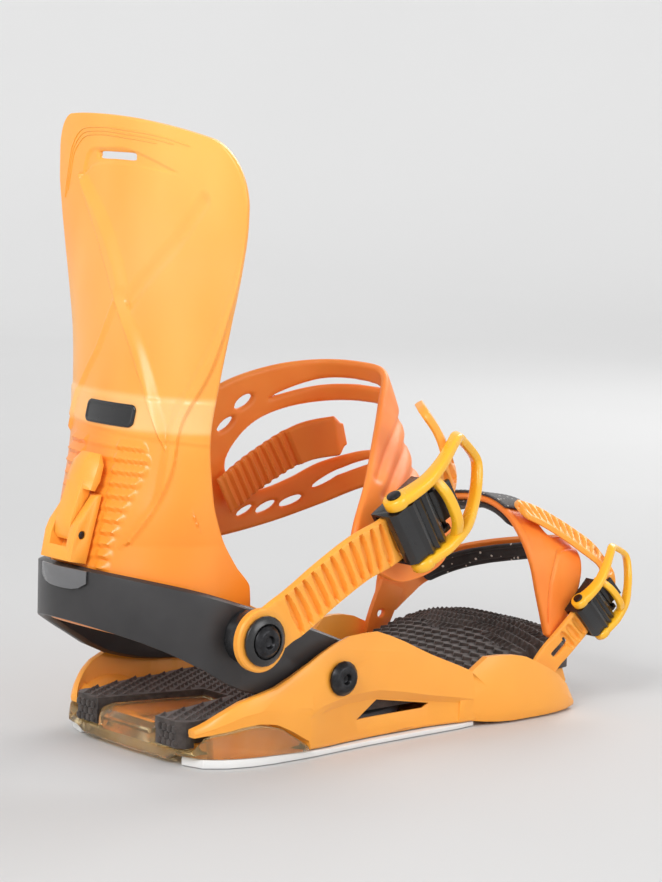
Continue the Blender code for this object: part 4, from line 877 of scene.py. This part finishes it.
ANKLE_LADDER = (
    (-80, -63.2, 59.3), (-69.5, -64.0, 65.6), (-58, -64.8, 72.4), (-44, -65.8, 81.4),
    (-26, -67.2, 91.6), (-9.7, -68.8, 98.3), (0.8, -68.5, 104.9), (11.2, -68.3, 111.3),
    (21.7, -68.0, 117.9), (29.5, -66.3, 126), (31, -63, 134.5), (27.5, -59.5, 145.5),
    (19.5, -56, 157.5),
)
ANKLE_LADDER_ACROSS = (
    (0.51, 0, -0.86), (0.52, 0, -0.86), *[(0.53, 0, -0.85)] * 7, (0.72, 0.35, -0.5),
    (0.74, 0.6, -0.25), (0.68, 0.7, -0.1), (0.66, 0.75, 0),
)
TOE_PIN = Vector((106, 0, 15))
TOE_HOLE = 2.4
TOE_LADDER = (
    (106, -55.8, 15), (115.5, -56.6, 26.5), (129.9, -61.0, 42.7), (136.4, -61.0, 49.1),
    (142.8, -61.0, 55.3), (149.2, -61.0, 61.7), (150.5, -59.6, 68.5), (146.5, -55.2, 76),
    (138, -50.8, 83), (128, -47.6, 89.5), (117, -45, 95.5), (104, -43, 100.5),
)
TOE_LADDER_ACROSS = (
    (0.6, 0, -0.8), (0.68, 0, -0.73), *[(0.7, 0, -0.715)] * 4, (0.8, 0.25, -0.4), (0.8, 0.5, 0.1),
    (0.7, 0.65, 0.25), (0.62, 0.72, 0.3), (0.6, 0.75, 0.3), (0.55, 0.8, 0.25),
)


def tip(rows, share=0.03):
    """Half-width factor that rounds a strap's free end."""
    k = np.arange(rows)
    from_end = np.minimum(1.0, (rows - 1 - k) / (share * rows))
    return np.sqrt(np.maximum(0.04, 1 - 0.9 * (1 - from_end) ** 2))


def build_ladders():
    rows = 421
    p, n, u, v, half = strap_grid(ANKLE_LADDER, ANKLE_LADDER_ACROSS, 24, rows, 27, tip(rows))
    groove = lens_grooves(u, v, half, 17.5, 150.0, 5.8, 1.2)
    crown = 4.1 - 1.2 * np.clip((np.abs(v) - half + 1.6) / 1.6, 0, 1) ** 2
    plain = rise(u - 14, 5.0)
    high = (crown - 1.0) * (1 - plain) + crown * plain - 2.7 * groove
    field = np.minimum(half - np.abs(v), np.minimum(u + 1.0, u[-1:] - u + 0.4))
    bolt = np.hypot(p[..., 0] - PIVOT.x, p[..., 2] - PIVOT.z) - BOLT_HOLE
    field = np.minimum(field, np.where(u < 20, bolt, 99))
    strap = shell(p, field, 0.0, high, 1.1, n)
    rim = [(BOLT_HOLE, 63.1), (13.6, 63.1), (14.4, 63.8), (14.4, 66.4), (13.7, 67.2), (4.0, 67.2)]
    rim += [(BOLT_HOLE, 66.6)]
    eye = turned(rim, (PIVOT.x, 0, PIVOT.z), -SIDE, 88)
    finish_bmesh("ankle_ladder_moulding", joined(strap, eye), "ankle_ladder")

    rows = 361
    p, n, u, v, half = strap_grid(TOE_LADDER, TOE_LADDER_ACROSS, 16.6, rows, 23, tip(rows))
    groove = lens_grooves(u, v, half, 26.0, 138.0, 4.7, 1.8)
    crown = 2.95 - 0.9 * np.clip((np.abs(v) - half + 1.4) / 1.4, 0, 1) ** 2
    high = crown - 1.7 * groove - 0.5 * (1 - rise(u - 18, 6.0))
    field = np.minimum(half - np.abs(v), np.minimum(u + 1.0, u[-1:] - u + 0.4))
    bolt = np.hypot(p[..., 0] - TOE_PIN.x, p[..., 2] - TOE_PIN.z) - TOE_HOLE
    field = np.minimum(field, np.where(u < 14, bolt, 99))
    window = [(18, -1.7), (23, -1.9), (28, -1.7), (28.4, 0), (28, 1.7), (23, 1.9), (18, 1.7), (17.6, 0)]
    field = np.minimum(field, -blob(u, v, window))
    strap = shell(p, field, 0.0, high, 0.9, n)
    rim = [(TOE_HOLE, 55.7), (7.5, 55.7), (8.2, 56.3), (8.2, 58.9), (7.6, 59.6), (2.9, 59.6)]
    rim += [(TOE_HOLE, 59.1)]
    eye = turned(rim, TOE_PIN, -SIDE, 64)
    finish_bmesh("toe_ladder_moulding", joined(strap, eye), "toe_ladder")


def build_adjuster():
    line = ((-8, 51.0, 104), (14, 51.2, 116.5), (36, 43.5, 129), (52, 28, 134))
    across = ((0.5, 0, -0.86), (0.45, 0, -0.88), (0.3, 0, -0.95), (0.15, -0.1, -0.98))
    rows = 181
    p, n, u, v, half = strap_grid(line, across, 20, rows, 25)
    length = u[-1, 0]
    ribs = lens_grooves(u, v, half, 3.0, length * 0.62, 4.9, -8)
    block = rise(u - length * 0.62, 1.5)
    high = 2.6 + 1.7 * (1 - ribs) * rise(u - 2, 2) + 0.9 * block
    shoulder = rise(u - length * 0.94, 4.0)
    high = high - 2.2 * shoulder
    field = np.minimum(half - 4.4 * shoulder - np.abs(v), np.minimum(u, u[-1:] - u))
    finish_bmesh("ankle_adjuster_moulding", shell(p, field, 0.0, high, 1.6, n), "ankle_adjuster")


TOE_LINES = (
    (
        (103, 57.4, 34), (105, 57.2, 52), (106, 55, 70), (106, 43, 88), (106, 22, 97),
        (106, 0, 102), (105, -20, 102.5), (102, -37, 98), (100, -49, 89), (102, -55, 76),
        (106, -56.2, 60), (114, -55.2, 38.5),
    ),
    (
        (108, 57.4, 33.5), (113, 57.4, 49), (120, 56, 66), (126, 44, 84), (128, 24, 93.5),
        (128, 0, 98.5), (126, -20, 99), (119, -38, 95), (113, -50, 86), (112, -55.4, 74),
        (112, -56.4, 57.5), (115.4, -55.2, 37.6),
    ),
    (
        (113, 57.4, 33), (122, 57.6, 46), (134, 56, 58), (146, 44, 66), (153, 26, 71.5),
        (156, 2, 76.5), (152, -18, 80), (142, -37, 83), (127, -50, 81), (122, -55, 72),
        (120, -56.4, 54), (116.8, -55.2, 36.8),
    ),
    (
        (118, 57.4, 32.5), (129, 57.6, 39.5), (140, 57, 46), (151, 46, 53), (158, 28, 59),
        (161, 3, 64.5), (158, -18, 69), (151, -37, 73), (141, -51, 75), (138, -55.6, 67),
        (132, -56.6, 52), (119, -55.2, 36),
    ),
)


def toe_grid(low, high, first, last, rows, columns):
    """Part of the toe cap's surface: low..high across its four lines, first..last along them."""
    edges = [spline(line, 480) for line in TOE_LINES]
    pick = np.linspace(first, last, rows) * 479
    i = np.minimum(pick.astype(int), 478)
    t = (pick - i)[:, None]
    edges = [e[i] * (1 - t) + e[i + 1] * t for e in edges]
    c = np.linspace(low, high, columns)
    grid = np.zeros((rows, columns, 3))
    for k, at in enumerate(c):
        m = int(min(2, max(0, math.floor(at))))
        f = at - m
        grid[:, k] = edges[m] * (1 - f) + edges[m + 1] * f
    t, c = lattice(pick / 479, c)
    return grid, c, t


CAP_LONG = 260
CAP_GAP = [
    (43, 0), (47, -13.4), (70, -15), (110, -15), (150, -15), (168, -14), (178, -9), (182, 1),
    (176, 10), (164, 14.4), (140, 15), (100, 15), (66, 15), (47, 13.4)
]
CAP_CREASE = [(184, 62), (200, 44), (224, 30), (250, 24)]


def build_toe_cap():
    p, c, t = toe_grid(0, 3, 0, 1, 281, 97)
    _, _, border = surface_lengths(p)
    gap = blob(t * CAP_LONG, (c - 1.5) * 30, CAP_GAP)
    field = np.minimum(border, -gap)
    web = rise(t - 0.74, 0.05)
    rim = np.exp(-(((field - 2.4) / 1.2) ** 2))
    high = 1.6 + 0.35 * rim * (1 - web) + 0.9 * web * np.sin(math.pi * np.clip(c / 3, 0, 1))
    crease = line_distance(t * CAP_LONG, c * 24, CAP_CREASE)
    high = high - 0.9 * np.exp(-((crease / 2.0) ** 2))
    finish_bmesh("toe_cap_moulding", shell(p, field, -1.6, high, 1.8), "toe_cap_frame")

    p, _, _ = toe_grid(-0.02, 1.02, 10 / 24, 15 / 24, 90, 40)
    u, v, border = surface_lengths(p)
    wave = 0.12 * np.sin(u * 2.1) * np.sin(v * 1.7)
    finish_bmesh("toe_sleeve_fabric", shell(p, border, 1.75, 3.2 + wave, 1.6), "toe_band_sleeve")

    for node, low, high, first, last, deep, near in (
        ("toe_upper_liner", 0.08, 0.92, 6 / 24, 16 / 24, -4.6, -2.1),
        ("toe_lower_liner", 2.12, 2.88, 4 / 24, 16 / 24, -5.4, -2.8),
    ):
        p, _, _ = toe_grid(low, high, first, last, 170, 22)
        field = rounded(*surface_lengths(p), 6.0)
        stitch = np.exp(-(((field - 2.4) / 0.5) ** 2)) * 0.5
        finish_bmesh(node + "_foam", shell(p, field, deep + stitch, near, 1.5), node)


# ---- levers

LEVER_LOOP = (
    (-9.5, -17.4, 8.6), (-2, -17.4, 12.0), (8, -17.8, 14.2), (20, -18.8, 13.2), (33, -19.8, 9.6),
    (39.5, -18.6, 6.4), (43.5, -13, 3.6), (48.5, -1, 0.9), (47.5, 5, 1.0), (40, 11.5, 3.6),
    (30, 15.4, 7.6), (18, 17.4, 11.8), (5, 17.6, 12.6), (-2, 17.4, 11.2), (-9.5, 17.4, 8.6),
)
LEVER_BAR = ((11, -17.6, 12.9), (12, -9, 16.6), (12.4, 0, 17.4), (12, 9, 16.6), (11, 17.2, 12.4))


def frame_axes(along_strap, across):
    u = Vector(along_strap).normalized()
    v = Vector(across)
    v = (v - u * v.dot(u)).normalized()
    return u, v, v.cross(u).normalized()


def bar_along(points, count, rise_dir, shape, to_world):
    """A rounded bar whose section shape(k / count) gives (half width, half depth)."""
    centre = evenly(spline(points, 240), count)
    stations, sections = [], []
    for k in range(count):
        ahead = Vector(centre[min(k + 1, count - 1)] - centre[max(k - 1, 0)]).normalized()
        across = ahead.cross(rise_dir).normalized()
        thick = ahead.cross(across).normalized()
        stations.append((Vector(centre[k]), across, thick))
        sections.append(super_section(*shape(k / (count - 1))))
    bm = swept(stations, sections)
    for vert in bm.verts:
        vert.co = to_world(vert.co)
    return bm


def build_lever(tag, at, axes, size):
    """A ratchet lever: an open loop with a cross bar, and an eyelet at each end of its pin."""

    def to_world(p):
        return at + (axes[0] * p[0] + axes[1] * p[1] + axes[2] * p[2]) * size

    def loop_shape(t):
        end = max(0.0, 1 - min(t, 1 - t) / 0.3)
        side = math.exp(-(((t - 0.5) / 0.14) ** 2))
        return 2.1 + 0.6 * end, 2.9 + 2.5 * end**1.3 + 0.3 * side

    loop = bar_along(LEVER_LOOP, 150, Vector((0.35, 0, -0.94)), loop_shape, to_world)
    bar = bar_along(LEVER_BAR, 40, Vector((0.1, 0, -1)), lambda t: (2.4, 2.3), to_world)
    eyes = []
    for side in (-1, 1):
        ring = [(2.3, -2.7), (5.2, -2.7), (6.0, -2.0), (6.0, 2.0), (5.2, 2.7), (2.3, 2.7)]
        ring = [(r * size, h * size) for r, h in ring]
        spot = to_world((-9.5, side * 17.4, 8.6))
        eyes.append(turned(ring, spot, axes[1], 48))
    finish_bmesh(tag + "_lever_moulding", joined(loop, bar, *eyes), tag + "_lever", smooth=60)


# ---- footbeds


def scale_height(x, y, pitch, cell, tall):
    """Overlapping scales with pointed rear edges."""
    zig = np.abs((y / cell) % 1.0 - 0.5) * 2
    row = (x + 2.8 * zig) / pitch
    saw = 1 - row % 1.0
    lip = np.clip((row % 1.0) / 0.12, 0, 1)
    dome = 0.75 + 0.25 * np.cos(2 * math.pi * y / cell)
    return tall * saw**0.8 * lip * dome


def build_toe_footbed():
    low, high = (c * 1000 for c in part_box("toe_footbed"))
    nx, ny = 261, 231
    x, t = lattice(np.linspace(low.x, high.x, nx), np.linspace(-1, 1, ny))
    centre = along(((62, 23), (90, 30), (112, 35), (132, 37.5), (148, 34)), x)
    half = along(((62, 49), (100, 49.5), (130, 48), (142, 45), (148, 40)), x)
    y = half * t
    z = centre - 5.5 * np.abs(t) ** 3
    scales = scale_height(x, y, 5.2, 6.4, 2.1)
    phase = np.abs(((x + 1.2 * np.sin(y / 9)) / 7.2) % 1.0 - 0.5)
    chips = 0.5 * np.sin(y * 1.9 + 3 * np.sin(x * 0.7)) * np.cos(x * 1.3)
    ridges = 1.9 * np.clip(2.7 * phase - 0.2, 0, 1) + chips
    side = rise(np.minimum(x - low.x, np.minimum(high.x - x, half - np.abs(y))), 2.5)
    blend = rise(x - 104 + 5 * np.sin(y / 7), 6.0)
    z = z - 0.9 + (scales * (1 - blend) + ridges * blend) * side - 1.6 * (1 - side)
    under = along(((62, 14.6), (108, 18.6), (142, 17.2), (148, 16.4)), x)
    bm = bmesh.new()
    up = [[bm.verts.new(point) for point in row] for row in np.stack([x, y, z], -1)]
    edge = [(i, 0) for i in range(nx)] + [(nx - 1, j) for j in range(1, ny)]
    edge += [(i, ny - 1) for i in range(nx - 2, -1, -1)] + [(0, j) for j in range(ny - 2, 0, -1)]
    for i in range(nx - 1):
        for j in range(ny - 1):
            bm.faces.new((up[i][j], up[i + 1][j], up[i + 1][j + 1], up[i][j + 1]))
    rings = [[up[i][j] for i, j in edge]]
    for share in (0.5, 1.0):
        drop = [(x[i, j], y[i, j], z[i, j] + (under[i, j] - z[i, j]) * share) for i, j in edge]
        rings.append([bm.verts.new(point) for point in drop])
    skin(bm, rings)
    bm.faces.new(rings[-1])
    finish_bmesh("toe_footbed_foam", bm, "toe_footbed", smooth=75)


def inside_outline(x, y, outline):
    hit = False
    for (ax, ay), (bx, by) in zip(outline, outline[1:] + outline[:1]):
        if (ay > y) != (by > y) and x < (bx - ax) * (y - ay) / (by - ay) + ax:
            hit = not hit
    return hit


def hex_stud(at, normal, radius, tall):
    """A domed six-sided cell."""
    normal = Vector(normal).normalized()
    first = normal.orthogonal().normalized()
    second = normal.cross(first)
    turns = [math.pi * k / 3 for k in range(6)]
    bm = bmesh.new()
    rows = []
    for share, h in ((1, -0.3), (0.96, 0.3 * tall), (0.8, 0.75 * tall), (0.45, tall)):
        foot = Vector(at) + normal * h
        arms = [(first * math.cos(t) + second * math.sin(t)) * radius * share for t in turns]
        rows.append([bm.verts.new(foot + arm) for arm in arms])
    skin(bm, rows, capped=True)
    return bm


def build_heel_tread():
    """Pointed scales over the heel pad's top, and rounded cells on its two rear prongs."""
    outline = [
        (-102, -36), (-97, -39), (-80, -42), (-66, -45), (-46, -45.5), (-38, -48.5), (0, -50),
        (57, -49.5),
    ]
    outline += [(x, -y) for x, y in reversed(outline)]
    outline += [(-103, 23), (-49, 11), (-49, -11), (-103, -23)]
    bm = bmesh.new()
    row = 0
    x = -101.0
    while x < 56:
        y = -49.0 + (2.6 if row % 2 else 0)
        while y < 50:
            if inside_outline(x, y, outline) and math.hypot(x, y) > 2:
                a = [(x - 2.4, y), (x, y - 2.4), (x + 2.6, y), (x, y + 2.4)]
                base = [bm.verts.new((px, py, 19.8)) for px, py in a]
                peak = bm.verts.new((x + 1.5, y, 21.7))
                for k in range(4):
                    bm.faces.new((base[k], base[(k + 1) % 4], peak))
                bm.faces.new(list(reversed(base)))
            y += 5.2
        x += 4.4
        row += 1
    cells = []
    for side in (-1, 1):
        for i in range(5):
            for j in range(3):
                y = 25.0 + 3.6 * i + (1.8 if j % 2 else 0)
                if y < 36.5:
                    cells.append(hex_stud((-103.9, side * y, 9.6 + 3.3 * j), (-1, 0, 0), 1.95, 1.0))
    finish_bmesh("heel_pad_tread", joined(bm, *cells), "heel_pad", smooth=30, replaces=False)


# ---- assemble

HAND_BUILT = {
    "highback_shell", "highback_badge", "highback_liner", "ankle_pad", "ankle_ladder",
    "ankle_adjuster", "toe_ladder", "toe_cap_frame", "toe_band_sleeve", "toe_upper_liner",
    "toe_lower_liner", "ankle_lever", "toe_lever", "toe_footbed",
}
EDGE_WIDTH = {
    "base_frame": 0.8, "heel_hoop": 0.7, "heel_pad": 0.8, "heel_air_cushion": 0.7, "toe_ramp": 0.8,
    "lean_block": 0.6, "lean_lever": 0.6, "ankle_buckle_body": 0.45, "toe_buckle_body": 0.35,
    "ankle_far_link": 0.6, "toe_far_link": 0.6, "base_gasket": 0.4,
}

build_highback()
build_highback_trim()
build_ankle_pad()
build_ladders()
build_adjuster()
build_toe_cap()
for tag, spot, directions, size in (
    ("ankle", (6.0, -68.4, 108.1), ((0.85, 0.02, 0.53), (0.53, 0, -0.85)), 1.0),
    ("toe", (139.6, -61.0, 52.2), ((0.715, 0, 0.7), (0.7, 0, -0.715)), 0.7),
):
    build_lever(tag, Vector(spot), frame_axes(*directions), size)
build_toe_footbed()
build_heel_tread()
for node in sorted(frame["nodes"]):
    if node not in HAND_BUILT:
        refined(node, EDGE_WIDTH.get(node, 0.25))

# ---- stage, light and camera


def area_light(name, place, target, size, power):
    data = bpy.data.lights.new(name, "AREA")
    data.shape = "RECTANGLE"
    data.size, data.size_y = size
    data.energy = power
    obj = bpy.data.objects.new(name, data)
    obj.location = place
    obj.rotation_mode = "QUATERNION"
    obj.rotation_quaternion = (Vector(target) - Vector(place)).to_track_quat("-Z", "Y")
    LINKED.link(obj)


def build_stage():
    # A round cove: flat floor that curves up into a wall on every side
    profile = [(0.0, 0.0), (1.0, 0.0), (2.2, 0.0)]
    turns = np.linspace(0.08, 1.5708, 18)
    profile += [(2.2 + 1.6 * math.sin(a), 1.6 - 1.6 * math.cos(a)) for a in turns]
    profile += [(3.8, 3.4)]
    bm = bmesh.new()
    rows = []
    for k in range(96):
        a = 2 * math.pi * k / 96
        rows.append([bm.verts.new((r * math.cos(a), r * math.sin(a), h)) for r, h in profile])
    for a, b in zip(rows, rows[1:] + rows[:1]):
        for k in range(len(profile) - 1):
            bm.faces.new((a[k], a[k + 1], b[k + 1], b[k]))
    bmesh.ops.remove_doubles(bm, verts=bm.verts, dist=1e-6)
    bmesh.ops.recalc_face_normals(bm, faces=bm.faces)
    mesh = bpy.data.meshes.new("studio_floor")
    bm.to_mesh(mesh)
    bm.free()
    mesh.shade_smooth()
    floor = bpy.data.objects.new("studio_floor", mesh)
    floor.location = (0, 0, min(0.0, cad_low.z) - 0.0004)
    paint, tree, shader = new_material("floor_paint", (0.6, 0.6, 0.6), 0.7)
    shader.inputs["Specular IOR Level"].default_value = 0.15
    vector = coordinates(tree)
    stops = [(0.3, (0.595, 0.595, 0.595)), (0.7, (0.605, 0.605, 0.605))]
    tone = ramp(tree, noise(tree, vector, 3, 2), stops)
    tree.links.new(tone, shader.inputs["Base Color"])
    # The wall glows a little towards its far side, where the softboxes fall off
    away = add(tree, "VectorMath", feeds={0: vector}, operation="LENGTH").outputs["Value"]
    reach = {"From Min": 0.5, "From Max": 3.2, "To Max": 0.33}
    far = add(tree, "MapRange", reach, {"Value": away}, interpolation_type="SMOOTHSTEP")
    tree.links.new(far.outputs["Result"], shader.inputs["Emission Strength"])
    shader.inputs["Emission Color"].default_value = (1, 1, 1, 1)
    mesh.materials.append(paint)
    LINKED.link(floor)

    world = bpy.data.worlds.new("studio_world")
    world.use_nodes = True
    set_inputs(world.node_tree.nodes["Background"], {"Color": (1, 1, 1, 1), "Strength": 0.5})
    bpy.context.scene.world = world
    centre = (0.01, 0, 0.13)
    area_light("key_softbox", (-1.7, -0.7, 1.4), centre, (0.9, 0.9), 29)
    area_light("front_softbox", (0.5, -1.8, 0.8), centre, (1.0, 0.8), 9)
    area_light("rim_softbox", (1.4, 0.5, 1.2), centre, (0.9, 1.2), 14)


CAMERA_TARGET = Vector((0.01465, -0.003, 0.13584))
CAMERA_DISTANCE = 1.25


def build_camera():
    azimuth, elevation, roll = (math.radians(a) for a in (-42.0, 7.0, 1.7))
    back = Vector((math.sin(azimuth), -math.cos(azimuth), math.tan(elevation))).normalized()
    right = Vector((math.cos(azimuth), math.sin(azimuth), 0))
    up = back.cross(right)
    tilted = right * math.cos(roll) + up * math.sin(roll)
    top = up * math.cos(roll) - right * math.sin(roll)
    spot = CAMERA_TARGET + back * CAMERA_DISTANCE
    data = bpy.data.cameras.new("camera")
    data.lens = 105.8
    data.sensor_width = 36
    data.clip_start, data.clip_end = 0.05, 40
    camera = bpy.data.objects.new("camera", data)
    turn = Matrix((tilted, top, back)).transposed().to_4x4()
    camera.matrix_world = Matrix.Translation(spot) @ turn
    LINKED.link(camera)
    bpy.context.scene.camera = camera


build_stage()
build_camera()
bpy.context.scene.view_settings.view_transform = "Standard"
